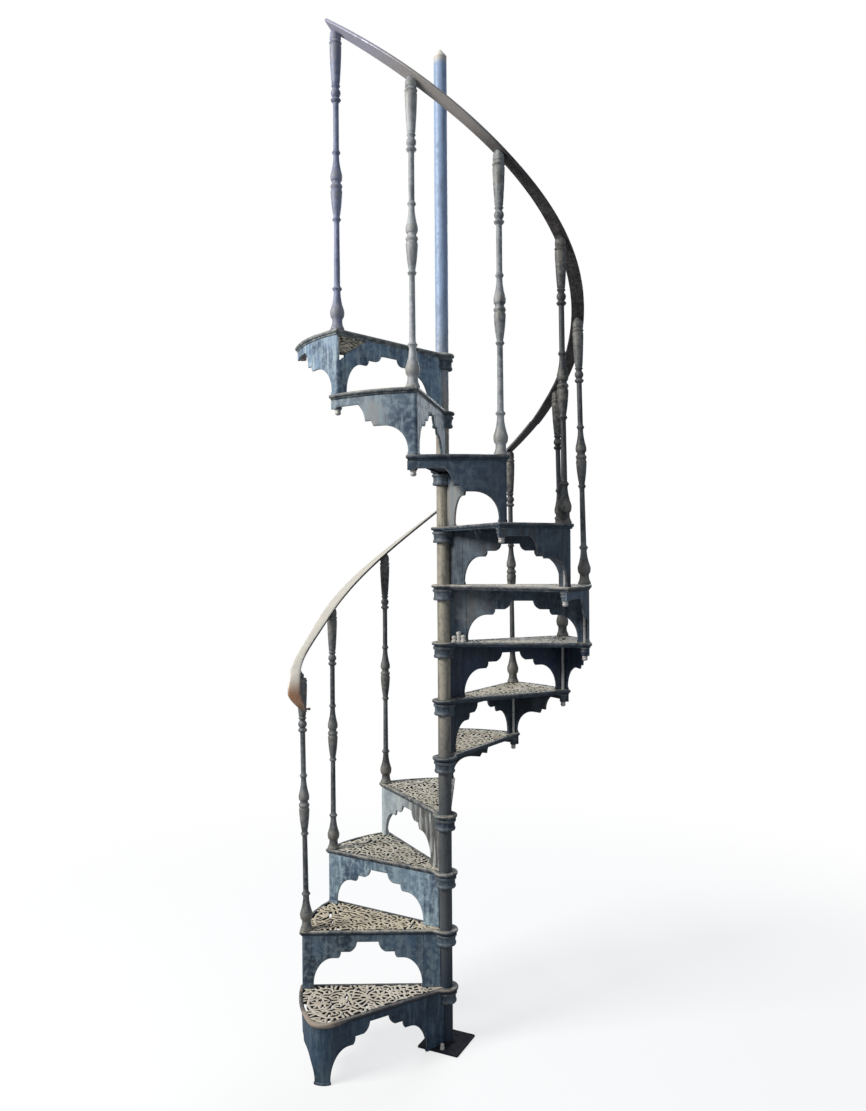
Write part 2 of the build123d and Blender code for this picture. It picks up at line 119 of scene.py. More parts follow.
def lofted(rings: np.ndarray, wear: np.ndarray | float = 0.0, endless: bool = False) -> Shell:
    """Skins a row of rings.

    The surface is a function of two parameters: which ring, and how far round it. Each pair of neighbouring
    rings is joined by quads, and the first and last rings are closed by fans about their middles.

    Args:
        rings: Points with one row for each ring and one column for each place round it.
        wear: One value for each point of the rings, or one for all.
        endless: Whether the last ring joins the first, with no caps.

    Returns:
        The closed surface.
    """
    count, around = rings.shape[:2]
    row = np.arange(count if endless else count - 1)[:, None]
    column = np.arange(around)[None, :]
    after, beside = (row + 1) % count, (column + 1) % around
    corners = [row * around + column, row * around + beside, after * around + beside, after * around + column]
    faces = np.stack(np.broadcast_arrays(*corners), -1).reshape(-1, 4)
    points = rings.reshape(-1, 3)
    worn = np.broadcast_to(np.asarray(wear, float), (count, around)).reshape(-1)
    if not endless:
        rim, beyond = column[0], beside[0]
        hub, last = np.full(around, count * around), (count - 1) * around
        faces = np.concatenate([faces, np.stack([hub, beyond, rim, rim], -1),
                                np.stack([hub + 1, last + rim, last + beyond, last + beyond], -1)])
        points = np.concatenate([points, [rings[0].mean(0), rings[-1].mean(0)]])
        worn = np.concatenate([worn, [worn[0], worn[-1]]])
    return Shell(points, faces, worn).outwards()


def turned(profile: Sequence[Pair] | np.ndarray, sides: int, centre: Pair = (0.0, 0.0),
           hollow: bool = False) -> Shell:
    """Turns a profile round an upright axis: x = r cos a, y = r sin a and z = h for each (r, h) and angle a.

    Args:
        profile: Rows of radius and height, from one end to the other or, if hollow, once round the section.
        sides: How many angles.
        centre: Plan place of the axis.
        hollow: Whether the profile stays clear of the axis, which leaves a hole.

    Returns:
        The closed surface, whose widest parts are worn most.
    """
    radius, height = np.asarray(profile, float).T[..., None]
    angle = np.linspace(0, 2 * np.pi, sides, endpoint=False)
    rings = np.stack([centre[0] + radius * np.cos(angle), centre[1] + radius * np.sin(angle),
                      height + 0 * angle], -1)
    return lofted(rings, (radius - radius.min()) / (np.ptp(radius) + 1e-6), hollow)


def raised(plan: np.ndarray, height: np.ndarray | float) -> np.ndarray:
    """Gives rows of points one more coordinate, such as a height: one for all, or one each."""
    return np.column_stack([plan, np.broadcast_to(height, len(plan))])


def spun(plan: np.ndarray | Pair, angle: float) -> np.ndarray:
    """Turns plan points about the origin."""
    x, y = np.moveaxis(np.asarray(plan, float), -1, 0)
    c, s = math.cos(angle), math.sin(angle)
    return np.stack([x * c - y * s, x * s + y * c], -1)


def arc(centre: Pair, radius: Pair | float, start: float, end: float, count: int) -> np.ndarray:
    """Points of an arc between two angles, or of an ellipse's where the radius is a pair of half axes."""
    angle = np.linspace(start, end, count)
    return np.asarray(centre) + np.stack([np.cos(angle), np.sin(angle)], -1) * radius


def bowed(start: Pair, end: Pair, swell: float, count: int = 7) -> np.ndarray:
    """Points of a shallow arc: the chord plus a parabola swell * 4 t (1 - t).

    Args:
        start: First point, which is left out of the result.
        end: Last point.
        swell: Height of the bow, to the left of the way from start to end.
        count: How many points after the first.

    Returns:
        Rows of two coordinates.
    """
    start, way = np.asarray(start, float), np.subtract(end, start)
    t = np.linspace(0, 1, count + 1)[1:, None]
    left = np.array([-way[1], way[0]]) / np.linalg.norm(way)
    return start + way * t + left * swell * 4 * t * (1 - t)


def eased(part: np.ndarray | float) -> np.ndarray | float:
    """Smoothstep 3 t^2 - 2 t^3 of a part that is held between 0 and 1."""
    part = np.clip(part, 0, 1)
    return part * part * (3 - 2 * part)


def bell(place: float, middle: float, spread: float, height: float) -> float:
    """A bell curve's value."""
    return height * math.exp(-((place - middle) / spread) ** 2)


# ---- The stair's own sizes ----------------------------------------------------------------------------
@dataclass(frozen=True)
class StairLayout:
    """Sizes and directions that all the pieces share. Those with no default are read from the solid model.

    Attributes:
        drawn: Step, spread and amount of the bell by which the rail and the baluster heads lean inwards.
        strained: Over how many steps, and how far at the top, the rail has been set above its pitch line.
    """

    steps: int
    rise: float
    turn: float
    first_riser: float
    baluster_circle: float
    tread_radius: float
    column_radius: float
    column_top: float
    base_top: float
    baluster_height: float = 950.0
    boss_depth: float = 47.0
    nose: float = 21.5
    drawn: Triple = (7.2, 2.1, 22.0)
    strained: Pair = (2.3, 19.0)

    @classmethod
    def from_frame(cls) -> "StairLayout":
        """Reads them off the boxes of the balusters, treads and column.

        Returns:
            The layout.
        """
        steps = sum(name.startswith("tread_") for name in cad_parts)
        centres = []
        for name in ("baluster_02", f"baluster_{steps:02d}"):
            low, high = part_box(name)
            centres.append(((low.x + high.x) / 2, (low.y + high.y) / 2))
        second, last = (math.atan2(y, x) for x, y in centres)
        turn = (second - last) % (2 * math.pi) / (steps - 2)
        low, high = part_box("centre_column")
        reach = max(math.hypot(*vertex.co.xy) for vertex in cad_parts["tread_02"].data.vertices)
        return cls(steps=steps, rise=(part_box("tread_02")[1].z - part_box("tread_01")[1].z) / MM, turn=turn,
                   first_riser=second + turn, baluster_circle=math.hypot(*centres[0]) / MM,
                   tread_radius=reach / MM, column_radius=(high.x - low.x) / 2 / MM, column_top=high.z / MM,
                   base_top=low.z / MM)

    @property
    def boss(self) -> Pair:
        """Plan place of the tie rod at a step's tail, in the step's frame."""
        return (self.baluster_circle * math.cos(self.turn), -self.baluster_circle * math.sin(self.turn))

    @property
    def slope(self) -> float:
        """Rise over run along the balusters."""
        return self.rise / (self.baluster_circle * self.turn)

    def riser_angle(self, number: float) -> float:
        """Plan direction of a step's riser line."""
        return self.first_riser - (number - 1) * self.turn

    def carry(self, points: np.ndarray, number: int) -> np.ndarray:
        """Carries points from a step's own frame to the stair: a turn about the axis and a lift."""
        angle = self.riser_angle(number)
        c, s = math.cos(angle), math.sin(angle)
        return points @ np.array([[c, s, 0], [-s, c, 0], [0, 0, 1]]) + [0, 0, number * self.rise]

    def place(self, shell: Shell, number: int) -> Shell:
        """A shell, carried from a step's own frame to the stair."""
        return shell.at(self.carry(shell.points, number))

    def spot(self, number: int, patch: tuple[float, ...]) -> tuple[float, ...]:
        """A patch's middle, radius and strength, carried from a step's frame to the stair, in metres."""
        if not patch:
            return ()
        return (*(self.carry(np.array(patch[:3]), number) * MM).tolist(), patch[3] * MM, patch[4])

    def drawn_in(self, step: float) -> float:
        """How far the rail and the baluster heads lean towards the column."""
        return bell(step, *self.drawn)

    def strain(self, step: float) -> float:
        """How far the rail has been set above its pitch line."""
        steps, height = self.strained
        return height * eased((step - self.steps + steps) / steps)

    def tail_frame(self, points: np.ndarray) -> np.ndarray:
        """Mirrors plan points from the leading edge to the trailing edge, about the tread's middle line."""
        return spun(points, self.turn) * [1, -1]


# ---- Finishes -----------------------------------------------------------------------------------------
class Nodes:
    """A small hand for wiring one node tree. Inputs take a value or another node's socket."""

    def __init__(self, tree: bpy.types.NodeTree) -> None:
        """Keeps the tree and clears it."""
        self.tree = tree
        tree.nodes.clear()

    def add(self, kind: str, *inputs: object, **values: object) -> bpy.types.Node:
        """Adds a node and sets its properties and inputs.

        Args:
            kind: The node's type name, without the leading ShaderNode.
            inputs: Its first inputs, in order.
            values: Properties by name, or inputs by name with spaces written as underscores.

        Returns:
            The node.
        """
        node = self.tree.nodes.new(kind if kind.startswith("NodeGroup") else "ShaderNode" + kind)
        for key, value in values.items():
            if hasattr(node, key):
                setattr(node, key, value)
            else:
                self.feed(node, key.replace("_", " "), value)
        for index, value in enumerate(inputs):
            self.feed(node, index, value)
        return node

    def feed(self, node: bpy.types.Node, name: str | int, value: object) -> None:
        """Sets an input to a value, or links it where the value is a socket.

        Args:
            node: The node.
            name: The input's name or index.
            value: A number, a vector, a colour or a socket.
        """
        socket = node.inputs[name]
        if isinstance(value, Socket):
            self.tree.links.new(value, socket)
        elif socket.type == "RGBA":
            socket.default_value = (*value, 1.0)
        else:
            socket.default_value = value

    def where(self) -> Socket:
        """Object coordinates."""
        return self.add("TexCoord").outputs["Object"]

    def upright(self, vector: Socket) -> Socket:
        """The Z of a vector."""
        return self.add("SeparateXYZ", vector).outputs["Z"]

    def mix(self, factor: object, first: object, second: object) -> Socket:
        """Mixes two colours.

        Args:
            factor: The second colour's part.
            first: The first colour.
            second: The second colour.

        Returns:
            The mixed colour.
        """
        node = self.add("Mix", factor, data_type="RGBA")
        self.feed(node, 6, first)
        self.feed(node, 7, second)
        return node.outputs[2]

    def laid(self, colour: object, over: object, mask: Socket, strength: object) -> Socket:
        """Lays a second colour over the first through a mask, at some strength."""
        return self.mix(self.times(mask, strength), colour, over)

    def stages(self, height: Socket, lowest: Triple, *changes: tuple[Pair, Triple]) -> object:
        """Colours that follow each other upwards.

        Args:
            height: The height.
            lowest: The first colour.
            changes: For each of the others, the heights between which it takes over, and the colour.

        Returns:
            The colour's socket.
        """
        colour: object = lowest
        for heights, above in changes:
            colour = self.mix(self.ramp(height, *heights), colour, above)
        return colour

    def maths(self, operation: str, *values: object) -> Socket:
        """Works out one number from others."""
        return self.add("Math", *values, operation=operation).outputs[0]

    def times(self, first: object, second: object) -> Socket:
        """Multiplies two numbers."""
        return self.maths("MULTIPLY", first, second)

    def vector(self, operation: str, *values: object) -> Socket:
        """Works out a vector, a length or a distance."""
        outputs = self.add("VectorMath", *values, operation=operation).outputs
        return outputs["Value" if operation in ("LENGTH", "DISTANCE") else "Vector"]

    def ramp(self, value: object, low: object, high: object, start: float = 0.0, end: float = 1.0) -> Socket:
        """Maps a range of numbers smoothly on to another."""
        return self.add("MapRange", value, low, high, start, end, interpolation_type="SMOOTHSTEP").outputs[0]

    def noise(self, where: Socket, scale: object, detail: float, roughness: float) -> Socket:
        """Noise of about 0 to 1."""
        node = self.add("TexNoise", Vector=where, Scale=scale, Detail=detail, Roughness=roughness)
        return node.outputs["Fac"]

    def uneven(self, scale: object) -> Socket:
        """Noise about 0."""
        return self.maths("SUBTRACT", self.noise(self.where(), scale, 5.0, 0.65), 0.5)


def shared(name: str, output: str = "Mask", **inputs: float) -> Callable:
    """Makes a wiring function into a node group that is built once and found again by name.

    Args:
        name: The group's name.
        output: The name of its one output, a number.
        inputs: Its number inputs, in order, with their defaults.

    Returns:
        A decorator.
    """
    def decorate(wire: Callable[..., Socket]) -> Callable[..., Socket]:
        """Keeps the function that wires the inside.

        Args:
            wire: Takes the inside's hand and its input sockets, and returns the output's socket.

        Returns:
            The function that places the group.
        """
        def place(hand: Nodes, *values: object) -> Socket:
            """Places the group.

            Args:
                hand: The hand of the tree that it is placed in.
                values: Values for its inputs, in order.

            Returns:
                Its output.
            """
            tree = bpy.data.node_groups.get(name)
            if not tree:
                tree = bpy.data.node_groups.new(name, "ShaderNodeTree")
                for key, default in inputs.items():
                    made = tree.interface.new_socket(name=key, in_out="INPUT", socket_type="NodeSocketFloat")
                    made.default_value = default
                tree.interface.new_socket(name=output, in_out="OUTPUT", socket_type="NodeSocketFloat")
                inside = Nodes(tree)
                given = inside.add("NodeGroupInput").outputs
                inside.add("NodeGroupOutput", wire(inside, *(given[key] for key in inputs)))
            node = hand.add("Group", node_tree=tree)
            for index, value in enumerate(values):
                hand.feed(node, index, value)
            return node.outputs[0]
        return place
    return decorate


@shared("irregular_patches", Scale=20.0, Seed=0.0, Low=0.4, High=0.6)
def patches(hand: Nodes, scale: Socket, seed: Socket, low: Socket, high: Socket) -> Socket:
    """Irregular patches: noise at a scale, cut smoothly to a mask between two levels."""
    return hand.ramp(hand.noise(hand.vector("ADD", hand.where(), seed), scale, 6.0, 0.62), low, high)


@shared("wall_streaks", Scale=45.0, Seed=0.0, Low=0.45, High=0.7)
def streaks(hand: Nodes, scale: Socket, seed: Socket, low: Socket, high: Socket) -> Socket:
    """Drips down a wall: noise that is long in height, since its coordinates are pressed together in Z."""
    pressed = hand.vector("MULTIPLY", hand.where(), (1.0, 1.0, 0.14))
    return hand.ramp(hand.noise(hand.vector("ADD", pressed, seed), scale, 5.0, 0.6), low, high)


@shared("bared_edges", Scale=60.0, Low=0.55, High=0.95, Amount=0.6)
def bared(hand: Nodes, scale: Socket, low: Socket, high: Socket, amount: Socket) -> Socket:
    """Edges rubbed bare: the piece's wear, broken up by noise."""
    wear = hand.add("Attribute", attribute_name="wear").outputs["Fac"]
    broken = hand.maths("ADD", wear, hand.times(hand.uneven(scale), 1.6))
    return hand.times(hand.ramp(broken, low, high), amount)


@shared("cast_skin", "Height", Amount=1.0)
def cast_skin(hand: Nodes, amount: Socket) -> Socket:
    """Sand-cast skin: fine grain, broad lumps and the dips of a cell pattern as one height.

    Args:
        hand: The group's hand.
        amount: The skin's strength.

    Returns:
        The height.
    """
    where = hand.where()
    grain = hand.times(hand.noise(where, 420.0, 3.0, 0.6), 0.35)
    lumps = hand.times(hand.noise(where, 75.0, 3.0, 0.5), 0.9)
    cells = hand.add("TexVoronoi", Vector=where, Scale=150.0).outputs["Distance"]
    pits = hand.times(hand.ramp(cells, 0.0, 0.22), 0.3)
    return hand.times(hand.maths("ADD", hand.maths("ADD", grain, lumps), pits), amount)


@shared("facing_up", Low=0.3, High=0.8)
def upward(hand: Nodes, low: Socket, high: Socket) -> Socket:
    """How far a surface faces up, as a mask between two levels of its normal's height."""
    return hand.ramp(hand.upright(hand.add("NewGeometry").outputs["Normal"]), low, high)


@shared("round_patch", X=0.0, Y=0.0, Z=0.0, Radius=0.1, Amount=0.8)
def round_patch(hand: Nodes, x: Socket, y: Socket, z: Socket, radius: Socket, amount: Socket) -> Socket:
    """A round patch, strongest in its middle, with an edge that noise pushes in and out."""
    away = hand.vector("DISTANCE", hand.where(), hand.add("CombineXYZ", x, y, z).outputs[0])
    ragged = hand.maths("ADD", away, hand.times(hand.uneven(38.0), radius))
    return hand.times(hand.ramp(hand.maths("DIVIDE", ragged, radius), 1.2, 0.55), amount)


@dataclass(frozen=True)
class Finish:
    """What every finish has.

    Attributes:
        name: The material's name.
        rough: Roughness where the finish's mask is 0, and where it is 1.
        skin: Strength of the cast skin.
        skin_depth: Depth of the skin, in metres.
        metallic: How metallic it is.
    """

    name: str
    rough: ClassVar[Pair] = (0.5, 0.72)
    skin: ClassVar[float] = 1.0
    skin_depth: ClassVar[float] = 0.0006
    metallic: ClassVar[float] = 0.0

    def material(self) -> bpy.types.Material:
        """Builds the material, or finds the one already built.

        Returns:
            The material.
        """
        made = bpy.data.materials.get(self.name)
        if not made:
            made = bpy.data.materials.new(self.name)
            made.use_nodes = True
            hand = Nodes(made.node_tree)
            colour, mask = self.wire(hand)
            bump = hand.add("Bump", Height=cast_skin(hand, self.skin), Strength=0.7, Distance=self.skin_depth)
            shader = hand.add("BsdfPrincipled", Base_Color=colour, Metallic=self.metallic,
                              Roughness=hand.ramp(mask, 0.0, 1.0, *self.rough), Normal=bump.outputs[0])
            hand.add("OutputMaterial", shader.outputs[0])
        return made

    def wire(self, hand: Nodes) -> tuple[Socket, Socket]:
        """Wires the pattern of one finish.

        Args:
            hand: The material's hand.

        Returns:
            Its colour and the mask that its roughness follows.
        """
        raise NotImplementedError


@dataclass(frozen=True)
class CastingPaint(Finish):
    """Old slate-blue paint on a casting, with darker and paler patches, drips and bare edges.

    Attributes:
        tone: How light the paint is, from weathering and, on some steps' brackets, from painted light and
            shade: every paint colour is multiplied by it.
        streaky: Strength of the pale drips.
        mottled: Strength of the small pale patches.
        grimy: Strength of the brown drips.
        inner_brown: Strength of the brown that gathers towards the column.
        bare_amount: How much of the edges is bare.
        faded: Middle, radius and strength of a patch that has faded to grey, in metres.
        seed: Moves the patterns, so that no two castings are alike.
    """

    deep: Triple = (0.022, 0.036, 0.060)
    body: Triple = (0.066, 0.100, 0.142)
    pale: Triple = (0.215, 0.275, 0.300)
    bare: Triple = (0.36, 0.33, 0.27)
    grime: Triple = (0.050, 0.040, 0.030)
    grey: Triple = (0.30, 0.295, 0.28)
    tone: float = 1.0
    streaky: float = 0.4
    mottled: float = 0.4
    grimy: float = 0.3
    inner_brown: float = 0.0
    bare_amount: float = 0.35
    faded: tuple[float, ...] = ()
    seed: float = 0.0

    def toned(self, colour: Triple, factor: float = 1.0) -> Triple:
        """A paint colour, multiplied by the tone and held below white."""
        return tuple(min(0.8, part * self.tone * factor) for part in colour)

    def wire(self, hand: Nodes) -> tuple[Socket, Socket]:
        """Body over deep by patches, then patches, drips, grime and bare edges.

        Args:
            hand: The material's hand.

        Returns:
            The colour and the mask.
        """
        broad = patches(hand, 9.0, self.seed, 0.36, 0.62)
        small = patches(hand, 52.0, self.seed + 3.7, 0.44, 0.64)
        drips = streaks(hand, 58.0, self.seed + 1.3, 0.47, 0.66)
        dirt = streaks(hand, 34.0, self.seed + 7.9, 0.5, 0.72)
        colour = hand.mix(broad, self.toned(self.deep), self.toned(self.body))
        colour = hand.laid(colour, self.toned(self.pale), small, self.mottled)
        colour = hand.laid(colour, self.toned(self.pale), drips, self.streaky)
        colour = hand.laid(colour, self.grime, dirt, self.grimy)
        if self.inner_brown:
            away = hand.vector("LENGTH", hand.vector("MULTIPLY", hand.where(), (1.0, 1.0, 0.0)))
            near = hand.ramp(away, 0.42, 0.16, 0.0, self.inner_brown)
            colour = hand.mix(near, colour, hand.mix(drips, self.grime, self.toned(self.pale, 0.7)))
        if self.faded:
            colour = hand.mix(round_patch(hand, *self.faded), colour, hand.mix(drips, self.grey, self.pale))
        return hand.mix(bared(hand, 70.0, 0.55, 1.0, self.bare_amount), colour, self.bare), small


@dataclass(frozen=True)
class LacePaint(Finish):
    """A tread's pierced part: walked down to pale cream on top, slate beneath, near-black painted shade in
    the holes.
    """

    rough: ClassVar[Pair] = (0.55, 0.8)
    skin: ClassVar[float] = 0.8
    top: Triple = (0.78, 0.72, 0.60)
    tan: Triple = (0.46, 0.40, 0.30)
    rust: Triple = (0.26, 0.12, 0.05)
    # Painted shade: the holes' walls are near black, standing for the dark under the tread that shows through
    # them.
    side: Triple = (0.014, 0.017, 0.021)
    below: Triple = (0.060, 0.085, 0.115)
    rusty: float = 0.15
    seed: float = 0.0

    def wire(self, hand: Nodes) -> tuple[Socket, Socket]:
        """Cream and tan where the surface faces up, with rust patches; elsewhere slate where it faces down
        and painted shade, near black, on the holes' walls.

        Args:
            hand: The material's hand.

        Returns:
            The colour and the mask.
        """
        small = patches(hand, 85.0, self.seed + 5.1, 0.46, 0.68)
        cream = hand.laid(self.top, self.tan, patches(hand, 14.0, self.seed, 0.36, 0.64), 0.35)
        cream = hand.laid(cream, self.tan, small, 0.4)
        cream = hand.laid(cream, self.rust, patches(hand, 22.0, self.seed + 9.2, 0.45, 0.62), self.rusty)
        # Slate paint on faces that face down, painted shade on the holes' walls.
        dark = hand.mix(upward(hand, -0.9, -0.4), self.below, self.side)
        walked = hand.times(upward(hand, 0.45, 0.9), bared(hand, 55.0, -0.1, 0.6, 1.0))
        return hand.mix(walked, dark, cream), small


@dataclass(frozen=True)
class RimPaint(Finish):
    """A tread's rim and hub ring: slate paint, worn pale along the nosing and on top."""

    rough: ClassVar[Pair] = (0.45, 0.72)
    skin: ClassVar[float] = 0.9
    paint: Triple = (0.075, 0.105, 0.135)
    deep: Triple = (0.025, 0.038, 0.055)
    worn: Triple = (0.58, 0.53, 0.43)
    rust: Triple = (0.40, 0.22, 0.13)
    scuff: Triple = (0.56, 0.46, 0.35)
    bare_amount: float = 0.6
    rusty: float = 0.1
    scuffed: tuple[float, ...] = ()
    seed: float = 0.0

    def wire(self, hand: Nodes) -> tuple[Socket, Socket]:
        """Slate by patches, pale where the wear is high and the surface does not face down.

        Args:
            hand: The material's hand.

        Returns:
            The colour and the mask.
        """
        small = patches(hand, 60.0, self.seed, 0.40, 0.66)
        slate = hand.mix(small, self.deep, self.paint)
        if self.scuffed:
            slate = hand.mix(round_patch(hand, *self.scuffed), slate, self.scuff)
        pale = hand.laid(self.worn, self.rust, patches(hand, 17.0, self.seed + 6.1, 0.46, 0.60), self.rusty)
        wear = bared(hand, 42.0, 0.55, 1.15, self.bare_amount)
        broad = patches(hand, 11.0, self.seed + 2.3, 0.40, 0.60)
        for mask, least in ((upward(hand, -0.1, 0.75), 0.35), (broad, 0.45)):
            wear = hand.times(wear, hand.ramp(mask, 0.0, 1.0, least))
        return hand.mix(wear, slate, pale), small


@dataclass(frozen=True)
class BareSteel(Finish):
    """Dull bare steel of rods and nuts, with brown spots."""

    rough: ClassVar[Pair] = (0.55, 0.8)
    skin: ClassVar[float] = 0.4
    skin_depth: ClassVar[float] = 0.0003
    metallic: ClassVar[float] = 0.2
    metal: Triple = (0.60, 0.585, 0.55)
    spots: Triple = (0.20, 0.14, 0.09)

    def wire(self, hand: Nodes) -> tuple[Socket, Socket]:
        """Steel with small rust spots."""
        spots = patches(hand, 120.0, 2.0, 0.52, 0.66)
        return hand.laid(self.metal, self.spots, spots, 0.5), spots


@dataclass(frozen=True)
class RailMetal(Finish):
    """The rail's worn flat bar, copper brown at its free end, pale on the way up, grey brown above, with
    painted shade.
    """

    rough: ClassVar[Pair] = (0.36, 0.6)
    skin: ClassVar[float] = 0.5
    skin_depth: ClassVar[float] = 0.0004
    metallic: ClassVar[float] = 0.15
    # Painted shade on the curl's tip, which is dark.
    tip: Triple = (0.045, 0.040, 0.022)
    copper: Triple = (0.34, 0.165, 0.085)
    # Worn pale metal, lifted almost to white as a painted highlight of the lit top face.
    pale: Triple = (0.80, 0.76, 0.66)
    brown: Triple = (0.245, 0.235, 0.235)
    # Painted shade on the sides and the underside.
    dark: Triple = (0.028, 0.024, 0.027)
    beige: Triple = (0.36, 0.34, 0.32)
    violet: Triple = (0.40, 0.40, 0.50)
    tip_height: Pair = (1.225, 1.265)
    copper_height: Pair = (1.285, 1.36)
    curl_height: Pair = (1.45, 1.34)
    pale_height: Pair = (1.80, 2.3)
    beige_height: Pair = (3.02, 3.16)
    violet_height: Pair = (3.26, 3.42)

    def wire(self, hand: Nodes) -> tuple[Socket, Socket]:
        """Colours by height, with patches. Between the two ends, the sides and the underside carry painted
        shade, dark.

        Args:
            hand: The material's hand.

        Returns:
            The colour and the mask.
        """
        height = hand.upright(hand.where())
        small = patches(hand, 40.0, 1.0, 0.38, 0.66)
        lit = hand.maths("MAXIMUM", upward(hand, 0.15, 0.6), hand.ramp(height, *self.curl_height))
        climbing = hand.stages(height, self.tip, (self.tip_height, self.copper),
                               (self.copper_height, self.pale), (self.pale_height, self.brown))
        top = hand.stages(height, self.beige, (self.violet_height, self.violet))
        # The faces that do not face up take the painted shade, between the ends.
        colour = hand.mix(hand.ramp(height, *self.beige_height), hand.mix(lit, self.dark, climbing), top)
        colour = hand.laid(colour, self.brown, small, 0.28)
        return hand.laid(colour, self.pale, patches(hand, 160.0, 4.0, 0.40, 0.70), 0.12), small


@dataclass(frozen=True)
class ColumnPaint(Finish):
    """The column's worn paint: dark blue at the foot, then grey green and tan, with a painted reflection of
    the sky, bluish, high up.
    """

    rough: ClassVar[Pair] = (0.45, 0.7)
    skin: ClassVar[float] = 0.7
    foot: Triple = (0.022, 0.040, 0.066)
    low: Triple = (0.098, 0.108, 0.114)
    middle: Triple = (0.41, 0.375, 0.30)
    # Painted reflection: the sky's light blue, seen in the column high up.
    high: Triple = (0.33, 0.45, 0.65)
    cream: Triple = (0.62, 0.57, 0.50)
    dark: Triple = (0.045, 0.045, 0.045)
    foot_height: Pair = (0.18, 0.45)
    middle_height: Pair = (0.85, 1.35)
    sky_reflection_height: Pair = (2.2, 2.75)
    cream_height: Pair = (3.572, 3.602)

    def wire(self, hand: Nodes) -> tuple[Socket, Socket]:
        """Colours by height, with the painted sky reflection high up, and drips and patches of dark that fade
        upwards.

        Args:
            hand: The material's hand.

        Returns:
            The colour and the mask.
        """
        height = hand.upright(hand.where())
        small = patches(hand, 70.0, 6.0, 0.42, 0.68)
        colour = hand.stages(height, self.foot, (self.foot_height, self.low),
                             (self.middle_height, self.middle), (self.sky_reflection_height, self.high))
        for mask, strengths in ((streaks(hand, 60.0, 4.0, 0.45, 0.7), (0.55, 0.3)), (small, (0.35, 0.15))):
            colour = hand.laid(colour, self.dark, mask, hand.ramp(height, *self.sky_reflection_height, *strengths))
        return hand.mix(hand.ramp(height, *self.cream_height), colour, self.cream), small


@dataclass(frozen=True)
class PlainPaint(Finish):
    """One paint colour with patches of a second, for small pieces."""

    rough: ClassVar[Pair] = (0.55, 0.75)
    skin: ClassVar[float] = 0.8
    colour: Triple
    second: Triple

    def wire(self, hand: Nodes) -> tuple[Socket, Socket]:
        """The first colour, patched with the second."""
        small = patches(hand, 60.0, 8.0, 0.4, 0.7)
        return hand.mix(small, self.colour, self.second), small


class DullPaint(PlainPaint):
    """Plain paint that has lost its gloss."""

    rough: ClassVar[Pair] = (0.82, 1.02)


# ---- Putting a piece on the stair ---------------------------------------------------------------------
class Slot(Enum):
    """The record's material slots."""

    BASE = "base_iron"
    COLUMN = "column_paint"
    CAP = "cap_metal"
    CASTING = "casting_paint"
    TREAD = "tread_iron"
    BALUSTER = "baluster_paint"
    NUT = "nut_metal"
    RAIL = "rail_metal"


def stood(name: str, data: bpy.types.ID) -> bpy.types.Object:
    """Makes an object of a mesh, lamp or camera and puts it in the scene."""
    made = bpy.data.objects.new(name, data)
    bpy.context.scene.collection.objects.link(made)
    return made


def put_up(name: str, shell: Shell, finish: Finish, slot: Slot, *stands_for: str) -> None:
    """Makes the object of a shell, dresses it and hangs it on the frame.

    Args:
        name: The piece's name.
        shell: Its surface, in the stair's frame.
        finish: Its finish.
        slot: The record's slot that the finish belongs to. It is not used.
        stands_for: Nodes of the solid model that it replaces.
    """
    triangle = shell.faces[:, 2] == shell.faces[:, 3]
    sizes = np.where(triangle, 3, 4)
    keep = np.ones_like(shell.faces, bool)
    keep[triangle, 3] = False
    corners = shell.faces[keep]
    mesh = bpy.data.meshes.new(name)
    mesh.vertices.add(len(shell.points))
    mesh.vertices.foreach_set("co", (shell.points * MM).astype(np.float32).ravel())
    mesh.loops.add(len(corners))
    mesh.loops.foreach_set("vertex_index", corners.astype(np.int32))
    mesh.polygons.add(len(sizes))
    mesh.polygons.foreach_set("loop_start", (np.cumsum(sizes) - sizes).astype(np.int32))
    mesh.update(calc_edges=True)
    mesh.validate()
    mesh.attributes.new("wear", "FLOAT", "POINT").data.foreach_set("value", shell.wear.astype(np.float32))
    mesh.polygons.foreach_set("use_smooth", np.ones(len(mesh.polygons), bool))
    mesh.set_sharp_from_angle(angle=SHARP)
    mesh.materials.append(finish.material())
    piece = stood(name, mesh)
    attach(piece, "root")
    if stands_for:
        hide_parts(*stands_for)
    log.info("%s: %d points, %d faces", name, len(mesh.vertices), len(mesh.polygons))


# ---- Treads -------------------------------------------------------------------------------------------
def flowing(start: Pair, heading: float, bends: Sequence[Pair], length: float, samples: int) -> np.ndarray:
    """Points of a curve whose curvature is linear between given parts of its length.

    Args:
        start: Its first point.
        heading: Its direction there, in degrees.
        bends: Parts of the length and the curvature at each, in 1/mm.
        length: Its length.
        samples: How many points.

    Returns:
        Rows of two coordinates.
    """
    curvature = np.interp(np.linspace(0, 1, samples), *np.transpose(bends))
    step = length / (samples - 1)
    bend = np.cumsum((curvature[1:] + curvature[:-1]) / 2 * step)
    angle = math.radians(heading) + np.concatenate([[0], bend])
    middle = (angle[1:] + angle[:-1]) / 2
    steps = np.stack([np.cos(middle), np.sin(middle)], 1) * step
    return np.asarray(start, float) + np.concatenate([[[0, 0]], np.cumsum(steps, 0)])


